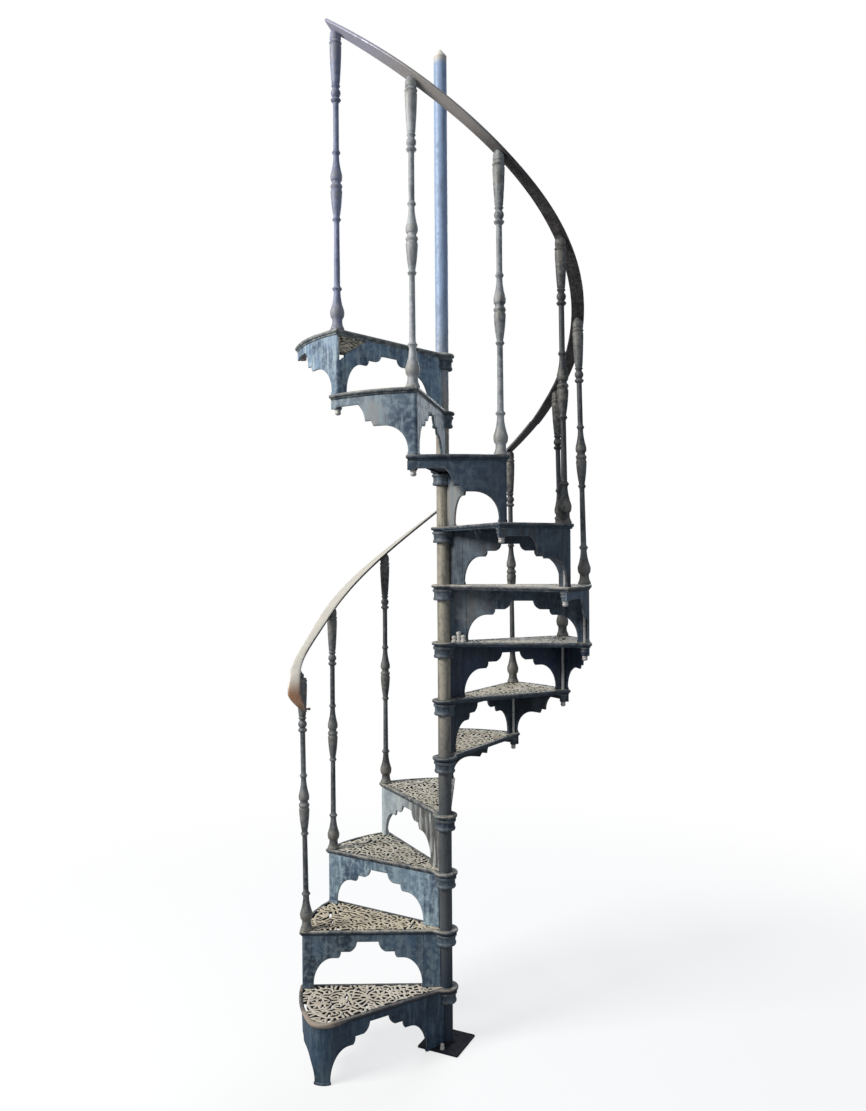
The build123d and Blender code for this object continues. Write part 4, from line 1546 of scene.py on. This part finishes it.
# ---- Balusters, rods and nuts -------------------------------------------------------------------------
@dataclass
class Baluster:
    """A turned baluster.

    Attributes:
        middle: Height of the middle ring.
        foot_turnings: Turnings of the foot. Each is a height, a radius and the swell of the curve up to it.
        middle_turnings: Turnings about the middle ring, by height above it.
        head_turnings: Turnings of the head, by drop below the top.
        stub: Profile of the pin that stands bare on the second step's baluster, above its height.
        cut: How much shorter that baluster is.
        lean: How far it leans outwards for its height.
    """

    layout: StairLayout
    middle: float = 456.0
    foot_turnings: tuple[Triple, ...] = (
        (0, 23, 0), (5, 23, 0), (8, 21.5, 0), (29, 16.5, -1.5), (35, 16.5, 0), (50, 22.8, 2), (63, 22.5, 0.8),
        (122, 11, -2.5), (126, 13, 0), (136, 13, 3.5), (140, 10.2, 0))
    middle_turnings: tuple[Triple, ...] = (
        (-114, 9, 0), (-110, 11, 0), (-99, 11, 3.7), (-95, 10.5, 0), (-24, 18.6, 1.2), (-12, 18, 1),
        (-9, 16.5, 0), (-6, 17.5, 0), (6, 17.5, 2.5), (9, 14.4, 0), (16, 14.4, 0), (23, 19, 1),
        (38, 18.8, 0.6), (99, 9.3, -2), (102, 11, 0), (113, 11, 3), (117, 9.3, 0))
    head_turnings: tuple[Triple, ...] = (
        (228, 9.3, 0), (225, 13.5, 0), (214, 13.5, 3.5), (211, 10, 0), (184, 10, 6), (180, 11.5, 0),
        (170, 11.5, 3.2), (166, 13.4, 0), (50, 19.4, 0.8), (45, 17.5, 0), (33, 17.5, 3.2), (30, 17.0, 0),
        (24, 18.0, 1.2), (14, 17.8, 0.6), (2, 13.5, 1.6), (-4, 9.5, 0.6), (-13, 9.0, 0))
    stub: tuple[Pair, ...] = (
        (THIN, -31), (12, -31), (12, -28.5), (7, -27.5), (9, -25), (9, -15), (4, -12), (2.2, -10), (2.0, -5),
        (THIN, -5))
    cut: float = 30.0
    lean: float = 0.013

    def profile(self) -> np.ndarray:
        """The turned profile: its turnings, joined by straight or bowed lines.

        Returns:
            Rows of radius and height.
        """
        turnings = [(radius, start + sign * height, swell) for start, sign, group in (
            (0, 1, self.foot_turnings), (self.middle, 1, self.middle_turnings),
            (self.layout.baluster_height, -1, self.head_turnings)) for height, radius, swell in group]
        foot = turnings[0][0]
        rows = [np.array([[THIN, 0.0], [foot - 1.5, 0.0], [foot, 1.5]])]
        for (*last, _), (*turning, swell) in zip(turnings, turnings[1:]):
            length = math.dist(last, turning)
            count = max(2, int(length / 6)) if swell else max(1, int(length / 12))
            rows.append(bowed(last, turning, -swell, count))
        return np.concatenate([*rows, [[THIN, turnings[-1][1]]]])

    def build(self, number: int) -> Shell:
        """The baluster of one step, with its top cut along the rail's slope.

        Args:
            number: The step, counted from the floor.

        Returns:
            Its surface, in the stair's frame.
        """
        post, height = turned(self.profile(), 28), self.layout.baluster_height
        points = post.points
        stretch = self.layout.strain(number)
        points[:, 2] *= 1 + stretch / height
        limit = height - 0.2 + 0.95 * stretch - points[:, 1] * self.layout.slope
        points[:, 2] = np.minimum(points[:, 2], limit)
        points[:, 0] -= points[:, 2] / height * self.layout.drawn_in(number)
        if number == 2:
            points[:, 2] = np.minimum(points[:, 2], height - self.cut)
            post = joined([post, turned(self.stub, 16).lifted(height)])
            points = post.points
            points[:, 0] += points[:, 2] * self.lean
        return self.layout.place(post.at(points + [self.layout.baluster_circle, 0, 0]), number)


@dataclass
class TieRod:
    """The rod that runs down from a baluster through two treads, its acorn nut, and the loose bolts."""

    layout: StairLayout
    radius: float = 6.0
    reach: float = 269.0

    def rod(self, number: int) -> Shell:
        """The rod of one step."""
        sides = [(self.radius, height) for height in (-self.reach, -180, -100, -6, 1)]
        profile = [(THIN, -self.reach), *sides, (THIN, 1)]
        return self.layout.place(turned(profile, 16, (self.layout.baluster_circle, 0)), number)

    def nut(self, number: int) -> Shell:
        """The nut under one step's boss.

        Args:
            number: The step, counted from the floor.

        Returns:
            Its surface.
        """
        profile = [(THIN, 0), (8.8, 0), (10, -1), (10, -5), (8.3, -6.6), (8.3, -7.8), (9.6, -9.4),
                   (10, -11.4), (9.4, -14.6), (7.4, -17.3), (4.2, -18.7), (THIN, -19.1)]
        nut = turned(profile, 24, self.layout.boss)
        return self.layout.place(nut.lifted(-self.layout.boss_depth), number)

    def leg_bolts(self) -> Shell:
        """The clump of bolts by the inner leg of the eighth step, and one by that of the bottom step.

        Returns:
            Their surface.
        """
        bolts = []
        for number, x, y, lift, wide, tall in ((8, 38, -5, 0, 11, 24), (8, 55, -3, 0, 11, 39),
                                               (8, 72, -5, 0, 11, 27), (1, 46, 43, 7, 8, 22)):
            profile = [(THIN, 0), (wide, 0), (wide, 6), (wide - 3, 8), (wide - 3, tall - 12),
                       (wide - 1, tall - 10), (wide - 2, tall - 3), (THIN, tall)]
            bolt = turned(profile, 14, (x, y)).lifted(lift - self.layout.rise)
            bolts.append(self.layout.place(bolt, number))
        return joined(bolts)


# ---- Column, collars, cap and base --------------------------------------------------------------------
@dataclass
class Column:
    """The centre column with its stepped collars, pointed cap and square base plate.

    Attributes:
        wall: Thickness of the tube.
        collar_profile: Radius and height of a collar's section, below the tread that it carries.
        cap_profile: Radius and height of the cap, above the column's top.
        tube_rows: How many rings the tube has.
        base_side: Side of the base plate.
        base_corner: Radius of its corners.
        base_direction: Its angle.
    """

    layout: StairLayout
    wall: float = 5.0
    collar_profile: tuple[Pair, ...] = (
        (24.4, -18), (39.4, -18), (40.2, -19), (40.2, -24.5), (39, -26.8), (36.6, -27.6), (35.4, -30),
        (35.2, -44), (36, -47.5), (37.6, -49), (38.2, -52), (37.6, -55.5), (36, -57.8), (24.4, -58))
    cap_profile: tuple[Pair, ...] = (
        (THIN, -20), (18.6, -20), (18.6, 0), (23.2, 0), (24, 0.8), (24, 3.6), (22.8, 5.2), (14, 15.6),
        (5, 26), (1.8, 29), (THIN, 29.8))
    tube_rows: int = 90
    base_side: float = 160.0
    base_corner: float = 5.0
    base_direction: float = math.radians(64)

    def tube(self) -> Shell:
        """The tube, slightly uneven as drawn pipe is: its radius swells by a sum of slow sines.

        Returns:
            Its surface.
        """
        height = np.linspace(self.layout.base_top, self.layout.column_top, self.tube_rows)
        swell = -0.25 - 0.12 * np.sin(height / 170) - 0.08 * np.sin(height / 47 + 1)
        outer = np.stack([self.layout.column_radius + swell, height], 1)
        inner = np.stack([np.full(self.tube_rows, self.layout.column_radius - self.wall), height], 1)[::-1]
        return turned(np.concatenate([outer, inner]), 48, hollow=True)

    def collars(self) -> Shell:
        """All the collars, one under each tread."""
        one = turned(self.collar_profile, 48, hollow=True)
        return joined([one.lifted(number * self.layout.rise) for number in range(1, self.layout.steps + 1)])

    def cap(self) -> Shell:
        """The cap."""
        return turned(self.cap_profile, 40).lifted(self.layout.column_top)

    def base(self) -> Shell:
        """The base plate, with eased edges and a low round foot about the column.

        Returns:
            Its surface.
        """
        rows, corner = [], self.base_corner
        for inset, height in ((1.2, 0), (0, 1.2), (0, 5.6), (1.4, 7)):
            side = self.base_side / 2 - inset - corner
            spots = [arc((x * side, y * side), corner, start, start + math.pi / 2, 6) for x, y, start in (
                (1, 1, 0), (-1, 1, math.pi / 2), (-1, -1, math.pi), (1, -1, 1.5 * math.pi))]
            rows.append(raised(spun(np.concatenate(spots), self.base_direction), height))
        plate = lofted(np.stack(rows), np.array([0.2, 0.7, 1.0, 0.6])[:, None])
        foot = turned([(24.6, 6), (31, 6), (31, 9.5), (29, 12.5), (26, 14.5), (24.6, 14.8)], 40, hollow=True)
        return joined([plate, foot])


# ---- Handrail -----------------------------------------------------------------------------------------
@dataclass
class Handrail:
    """A flat bar on edge-level sections that climbs over the balusters and curls down at its free end.

    Attributes:
        width: Width of the bar.
        thick: Its thickness.
        flare: How far outside the balusters its free end stands.
        seat: Its height above the balusters.
        overrun: How far it runs on past the top baluster, as a plan angle.
        curl_run: Length of the curl in plan.
        curl_drop: How far the curl comes down.
        curl_in: How far the curl's tip turns towards the axis.
        curl_points: How many points the curl has.
        climb_points: How many points the climbing part has.
        tip: Width at the tip.
        splice: Step at which its two lengths meet.
        offset: How far the upper length stands down and outwards there.
        neck: Step, spread and share of the width of the neck above the curl.
        tipped: Step from which the bar tips over, over how many steps, and how far.
        tipped_up: How far it rises as it tips.
        easing: Width of its eased edges.
        pin: Profile of the pin in its tip.
    """

    layout: StairLayout
    width: float = 45.0
    thick: float = 11.0
    flare: float = 36.0
    seat: float = 0.5
    overrun: float = math.radians(3.9)
    curl_run: float = 62.0
    curl_drop: float = 150.0
    curl_in: float = 25.0
    curl_points: int = 24
    climb_points: int = 180
    tip: float = 14.0
    splice: float = 6.46
    offset: Pair = (2.2, 1.2)
    neck: Triple = (2.28, 0.45, 0.33)
    tipped: Triple = (9.6, 1.6, math.radians(28))
    tipped_up: float = 3.0
    easing: float = 1.6
    pin: tuple[Pair, ...] = ((THIN, 0), (3.6, 0), (3.6, 19), (5.4, 20), (4.4, 25), (THIN, 28))

    def place(self, step: float, radius: float, height: float) -> list[float]:
        """A point at a step's riser line, counted in fractions of a step."""
        angle = self.layout.riser_angle(step)
        return [radius * math.cos(angle), radius * math.sin(angle), height]

    def line(self) -> tuple[np.ndarray, np.ndarray]:
        """Middle line of the bar, from its curled tip up.

        The climbing part is a helix whose radius springs outwards below the third step. The curl is a
        parabola in (run, drop) that starts along the helix and falls by the curl's drop.

        Returns:
            Points, and the bar's width at each.
        """
        layout = self.layout
        lift = layout.baluster_height + self.seat + self.thick / 2 / math.cos(math.atan(layout.slope))
        free, knee = layout.baluster_circle + self.flare, 0.75 * self.curl_run
        points, widths = [], []
        for i in range(self.curl_points):
            t = 1 - i / self.curl_points
            run = 2 * t * (1 - t) * knee + t * t * self.curl_run
            drop = 2 * t * (1 - t) * knee * layout.slope + t * t * self.curl_drop
            step = 2 - run / free / layout.turn
            width = self.width * (1 - bell(step, *self.neck) * (1 - t) ** 2)
            width -= (width - self.tip) * max(0.0, 1 - 3.2 * (1 - t)) ** 2
            points.append(self.place(step, free, 2 * layout.rise + lift - drop))
            widths.append(width)
        for step in np.linspace(2, layout.steps + self.overrun / layout.turn, self.climb_points):
            spring = max(0.0, 3 - step)
            radius = layout.baluster_circle + self.flare * spring ** 3 * (4 - 3 * spring)
            points.append(self.place(step, radius - layout.drawn_in(step),
                                     step * layout.rise + lift + layout.strain(step)))
            widths.append(self.width * (1 - bell(step, *self.neck)))
        return np.array(points), np.array(widths)[:, None]

    def bar(self) -> Shell:
        """The bar: a flat section with eased edges and a slightly domed top, carried along the middle line.

        Each point is path + across * x * width + up * y for a point (x, y) of the section. The bar is in two
        lengths that meet at a splice, and a pin stands in its tip.

        Returns:
            Its surface.
        """
        points, widths = self.line()
        along = np.gradient(points, axis=0)
        along /= np.linalg.norm(along, axis=1)[:, None]
        inward = -points * [1, 1, 0]
        inward /= np.linalg.norm(inward, axis=1)[:, None]
        across = inward - along * (inward * along).sum(1)[:, None]
        across /= np.linalg.norm(across, axis=1)[:, None]
        up = np.cross(across, along)
        up *= np.sign(up[:, 2])[:, None]
        half, top, ease = 0.5, self.thick / 2, self.easing
        edge = ease / self.width
        right = np.array([(half / 3, top), (half - 4 * edge, top - 0.5), (half - edge, top - ease),
                          (half, top - 2 * ease), (half, ease - top), (half - edge, -top)])
        section = np.concatenate([right[::-1] * [-1, 1], right])
        wear = np.array([0.2, 0.4, 0.8, 1.0, 0.8, 0.6, 0.6, 0.8, 1.0, 0.8, 0.4, 0.2])
        steps = self.layout.first_riser - np.unwrap(np.arctan2(points[:, 1], points[:, 0]))
        steps = 2 + (steps - steps[self.curl_points]) / self.layout.turn
        start, spread, angle = self.tipped
        tipping = np.clip((steps - start) / spread, 0, 1)[:, None]
        roll = angle * eased(tipping)
        across, up = across * np.cos(roll) - up * np.sin(roll), up * np.cos(roll) + across * np.sin(roll)
        reach = (2 - steps) * self.layout.turn * (self.layout.baluster_circle + self.flare)
        turn_in = np.clip(reach / self.curl_run * 5 - 4, 0, 1)[:, None] ** 1.5
        middle = (points + across * (self.width - widths) / 2 + inward * self.curl_in * turn_in
                  + up * self.tipped_up * tipping)
        meet = int(np.argmin(np.abs(steps - self.splice)))
        fade = np.clip(1 - (steps[meet:] - self.splice) * 3, 0, 1)[:, None]
        down, out = self.offset
        second = middle[meet:] - up[meet:] * down * fade - across[meet:] * out * fade
        pin = turned(self.pin, 12)
        axes = np.array([along[1], np.cross(inward[1], along[1]), inward[1]])
        parts = [pin.at(middle[1] + pin.points @ axes).outwards()]
        for part, path in ((slice(meet + 1), middle[:meet + 1]), (slice(meet, None), second)):
            x, y = (section[:, i, None] for i in (0, 1))
            parts.append(lofted(path[:, None] + across[part, None] * x * widths[part, None]
                                + up[part, None] * y, wear))
        return joined(parts)


# ---- Studio -------------------------------------------------------------------------------------------
@dataclass
class Studio:
    """Camera, lamps, world and floor. The camera looks level from a standing person's eyes."""

    camera_place: Triple = (-0.038, -3.317, 1.797)
    pitch: float = -0.19
    roll: float = -0.386
    lens: float = 29.33
    floor_side: float = 30.0
    floor_fade: Pair = (1.2, 3.6)

    def camera(self) -> None:
        """Sets the camera up."""
        data = bpy.data.cameras.new("camera")
        data.sensor_width, data.lens, data.sensor_fit = 36, self.lens, "AUTO"
        data.clip_start, data.clip_end = 0.05, 60
        camera = stood("camera", data)
        camera.location = self.camera_place
        tilt = Matrix.Rotation(math.radians(90 + self.pitch), 4, "X")
        camera.rotation_euler = (tilt @ Matrix.Rotation(math.radians(self.roll), 4, "Z")).to_euler()
        bpy.context.scene.camera = camera

    def lamp(self, name: str, place: Triple, target: Triple, side: float, power: float,
             colour: Triple) -> None:
        """Adds a square area lamp.

        Args:
            name: Its name.
            place: Where it stands.
            target: What it faces.
            side: Length of its side.
            power: Its power in watts.
            colour: Its colour.
        """
        data = bpy.data.lights.new(name, "AREA")
        data.shape, data.size, data.energy, data.color = "SQUARE", side, power, colour
        lamp = stood(name, data)
        lamp.location = place
        lamp.rotation_euler = (Vector(target) - Vector(place)).to_track_quat("-Z", "Y").to_euler()

    def light(self) -> None:
        """A large soft key from the left, a cool fill from the right and a faint light from behind."""
        self.lamp("key", (-5.4, -2.2, 4.9), (0, 0, 1.7), 2.6, 470, (1.0, 0.975, 0.94))
        self.lamp("fill", (3.6, -5.0, 2.4), (0, 0, 1.6), 3.0, 34, (0.86, 0.93, 1.0))
        self.lamp("back", (1.8, 5.0, 4.2), (0, 0, 1.9), 3.0, 130, (0.92, 0.96, 1.0))

    def world(self) -> None:
        """A grey-blue surround that is white to the camera."""
        world = bpy.data.worlds.new("surround")
        bpy.context.scene.world = world
        world.use_nodes = True
        hand = Nodes(world.node_tree)
        path = hand.add("LightPath").outputs
        seen = hand.maths("MAXIMUM", path["Is Camera Ray"], path["Is Transmission Ray"])
        surround = hand.mix(seen, (0.21, 0.235, 0.275), (1.0, 1.0, 1.0))
        hand.add("OutputWorld", hand.add("Background", surround, 1.0).outputs[0])

    def floor(self) -> None:
        """A white floor that glows for the camera but keeps the shadow, and fades into the white surround."""
        side = self.floor_side
        mesh = bpy.data.meshes.new("floor")
        corners = [(-side, -side, 0), (side, -side, 0), (side, side, 0), (-side, side, 0)]
        mesh.from_pydata(corners, [], [(0, 1, 2, 3)])
        made = bpy.data.materials.new("floor_white")
        made.use_nodes = True
        hand = Nodes(made.node_tree)
        seen = hand.add("LightPath").outputs["Is Camera Ray"]
        far = hand.ramp(hand.vector("LENGTH", hand.where()), *self.floor_fade)
        plain = hand.mix(far, (0.30, 0.30, 0.30), (0.0, 0.0, 0.0))
        glowing = hand.mix(far, (0.70, 0.70, 0.70), (1.0, 1.0, 1.0))
        paint = hand.add("BsdfDiffuse", hand.mix(seen, (0.26, 0.26, 0.27), plain))
        glow = hand.add("Emission", hand.mix(seen, (0.0, 0.0, 0.0), glowing), 1.0)
        hand.add("OutputMaterial", hand.add("AddShader", paint.outputs[0], glow.outputs[0]).outputs[0])
        mesh.materials.append(made)
        stood("floor", mesh)


# ---- The stair ----------------------------------------------------------------------------------------
Look = dict[str, Triple | float]


@dataclass(frozen=True)
class StepWearAndLight:
    """How one step's paint has weathered, with the painted light and shade that some steps carry.

    Attributes:
        casting: What differs in its bracket's finish. On some steps its tone and colours are painted light
            and shade.
        lace: What differs in its lace's finish. On the top step it paints the underside light.
        rim: What differs in its rim's finish.
        post: What differs in its baluster's finish.
        faded: Grey patch on the bracket: middle, radius and strength, in the step's frame.
        scuffed: Scuffed patch on the rim, in the same way.
    """

    casting: Look
    lace: Look
    rim: Look
    post: Look = field(default_factory=dict)
    faded: tuple[float, ...] = ()
    scuffed: tuple[float, ...] = ()


GREY: Look = {"body": (0.130, 0.140, 0.148), "pale": (0.30, 0.31, 0.31), "deep": (0.04, 0.046, 0.052)}
# Painted light and shade: the brackets of steps 3, 4, 11 and 12, whose faces turn to the key lamp's side, are
# painted lighter, and those of steps 1 and 5 to 7, which turn away, are painted darker. They are lit and
# shaded copies of one slate paint. The rest of the steps' differences is the paint's own wear.
STEP_WEAR_AND_LIGHT: dict[int, StepWearAndLight] = {
    1: StepWearAndLight({"body": (0.040, 0.078, 0.125), "deep": (0.014, 0.029, 0.053), "pale": (0.14, 0.20, 0.235),
                   "streaky": 0.55, "mottled": 0.25, "grimy": 0.4},
                  {"rusty": 0.2},
                  {"bare_amount": 0.8, "rusty": 0.4, "worn": (0.40, 0.37, 0.32),
                   "paint": (0.065, 0.067, 0.07)},
                  scuffed=(515.0, -30.0, -6.0, 95.0, 0.75)),
    2: StepWearAndLight({"body": (0.066, 0.112, 0.165), "tone": 1.1, "mottled": 0.55},
                  {"top": (0.82, 0.72, 0.54)},
                  {"bare_amount": 0.95, "rusty": 0.05},
                  {"tone": 1.05}),
    3: StepWearAndLight({"body": (0.078, 0.113, 0.142), "tone": 2.25, "streaky": 0.5, "grimy": 0.12},
                  {"top": (0.76, 0.73, 0.61)},
                  {"bare_amount": 0.95, "paint": (0.19, 0.22, 0.23)},
                  {"tone": 0.9}),
    4: StepWearAndLight({"deep": (0.31, 0.38, 0.42), "body": (0.46, 0.53, 0.55), "pale": (0.70, 0.72, 0.68),
                   "grimy": 0.08, "streaky": 0.25, "inner_brown": 0.85},
                  {"top": (0.80, 0.75, 0.62)},
                  {"bare_amount": 0.95, "paint": (0.26, 0.29, 0.29)},
                  {"tone": 0.8}),
    5: StepWearAndLight({"tone": 0.55, "streaky": 0.2, "mottled": 0.2},
                  {"top": (0.60, 0.55, 0.43)},
                  {"bare_amount": 0.5},
                  {"tone": 0.65}),
    6: StepWearAndLight({"tone": 0.55, "streaky": 0.2, "mottled": 0.15},
                  {"top": (0.60, 0.55, 0.43)},
                  {"bare_amount": 0.5},
                  {"tone": 0.5}),
    7: StepWearAndLight({"body": (0.029, 0.068, 0.155), "deep": (0.010, 0.024, 0.065), "tone": 0.6, "streaky": 0.2,
                   "mottled": 0.25},
                  {"top": (0.55, 0.52, 0.43)},
                  {"bare_amount": 0.7},
                  {"tone": 0.45}),
    8: StepWearAndLight({"tone": 1.2, "streaky": 0.35, "mottled": 0.35, "grimy": 0.4},
                  {"top": (0.62, 0.58, 0.48)},
                  {"bare_amount": 1.0, "paint": (0.11, 0.12, 0.125)},
                  {"tone": 0.75},
                  (100.0, 8.0, -80.0, 85.0, 0.45)),
    9: StepWearAndLight({"tone": 0.8, "streaky": 0.35, "mottled": 0.3, "grimy": 0.7},
                  {"top": (0.55, 0.51, 0.42)},
                  {"bare_amount": 0.7},
                  {"tone": 0.42}),
    10: StepWearAndLight({"body": (0.042, 0.074, 0.121), "deep": (0.014, 0.027, 0.051), "tone": 0.95,
                    "streaky": 0.25, "mottled": 0.35, "grimy": 0.2},
                   {},
                   {"bare_amount": 0.5},
                   {"tone": 2.1},
                   (85.0, 8.0, -135.0, 95.0, 0.9)),
    11: StepWearAndLight({"body": (0.060, 0.0875, 0.115), "tone": 1.85, "streaky": 0.4, "mottled": 0.4,
                    "grimy": 0.1},
                   {},
                   {"bare_amount": 0.7, "paint": (0.15, 0.17, 0.17)},
                   {"tone": 2.4, "deep": (0.09, 0.094, 0.1)},
                   (508.0, -135.0, -84.0, 58.0, 0.6)),
    12: StepWearAndLight({"tone": 2.75, "streaky": 0.55, "mottled": 0.3, "grimy": 0.1},
                   # Painted light: the top lace's underside is cream, so that it shows bright, as if lit from
                   # below, through the riser's broken corner.
                   {"below": (0.80, 0.76, 0.62)},
                   {"bare_amount": 1.0, "paint": (0.31, 0.34, 0.33), "deep": (0.10, 0.12, 0.13),
                    "worn": (0.74, 0.71, 0.62)},
                   {"tone": 1.6, "body": (0.13, 0.15, 0.22), "deep": (0.09, 0.105, 0.17),
                    "pale": (0.25, 0.27, 0.38)}),
}


def build_stair(layout: StairLayout) -> None:
    """Builds and dresses every piece of the stair.

    Args:
        layout: The stair's sizes.
    """
    column = Column(layout)
    black = DullPaint("base_black", (0.002, 0.0035, 0.0095), (0.0045, 0.007, 0.015))
    put_up("base", column.base(), black, Slot.BASE, "base_plate")
    put_up("column", column.tube(), ColumnPaint("column_worn"), Slot.COLUMN, "centre_column")
    cream = PlainPaint("cap_cream", (0.97, 0.92, 0.82), (0.85, 0.80, 0.70))
    put_up("cap", column.cap(), cream, Slot.CAP, "column_cap")
    paint = CastingPaint("collar_paint", tone=0.9, bare_amount=0.14)
    put_up("collars", column.collars(), paint, Slot.CASTING, "hub_collars")
    tread, bracket, baluster, rod = Tread(layout), Bracket(layout), Baluster(layout), TieRod(layout)
    plain, swept = Lace(layout), Lace(layout, swept=tread.swept)
    plain.ornament()
    swept.ornament()
    for number, wear_and_light in STEP_WEAR_AND_LIGHT.items():
        code = f"{number:02d}"
        paint = LacePaint(f"lace_worn_{code}", seed=number * 2.3, **wear_and_light.lace)
        put_up(f"lace_{code}", tread.panel(number, swept if number == 1 else plain), paint, Slot.TREAD,
               f"tread_{code}")
        paint = RimPaint(f"rim_worn_{code}", seed=number * 3.1, scuffed=layout.spot(number, wear_and_light.scuffed),
                         **wear_and_light.rim)
        put_up(f"rim_{code}", tread.rim(number), paint, Slot.TREAD)
        paint = CastingPaint(f"casting_{code}", seed=number * 1.7, faded=layout.spot(number, wear_and_light.faded),
                             **wear_and_light.casting)
        put_up(f"riser_{code}", bracket.build(number), paint, Slot.CASTING, f"bracket_{code}")
        if number > 1:
            paint = CastingPaint(f"post_paint_{code}", seed=number * 0.9, bare_amount=0.45,
                                 **{**GREY, **wear_and_light.post})
            put_up(f"post_{code}", baluster.build(number), paint, Slot.BALUSTER, f"baluster_{code}")
    pinkish = PlainPaint("boss_pinkish_grey", (0.44, 0.39, 0.37), (0.27, 0.25, 0.24))
    put_up("empty_boss", layout.place(bracket.boss(), layout.steps), pinkish, Slot.CASTING)
    steel = BareSteel("bare_steel")
    put_up("tie_rods", joined([rod.rod(number) for number in range(2, layout.steps + 1)]), steel, Slot.NUT)
    put_up("acorn_nuts", joined([rod.nut(number) for number in range(1, layout.steps)]), steel, Slot.NUT,
           "rod_nuts")
    put_up("leg_bolts", rod.leg_bolts(), steel, Slot.NUT)
    put_up("rail", Handrail(layout).bar(), RailMetal("rail_worn"), Slot.RAIL, "handrail")


def main() -> None:
    """Builds the stair and its studio."""
    logging.basicConfig(level=logging.INFO, format="%(message)s")
    bpy.context.scene.view_settings.view_transform = "Standard"
    studio = Studio()
    studio.camera()
    build_stair(StairLayout.from_frame())
    studio.light()
    studio.world()
    studio.floor()


if __name__ == "__main__":
    main()
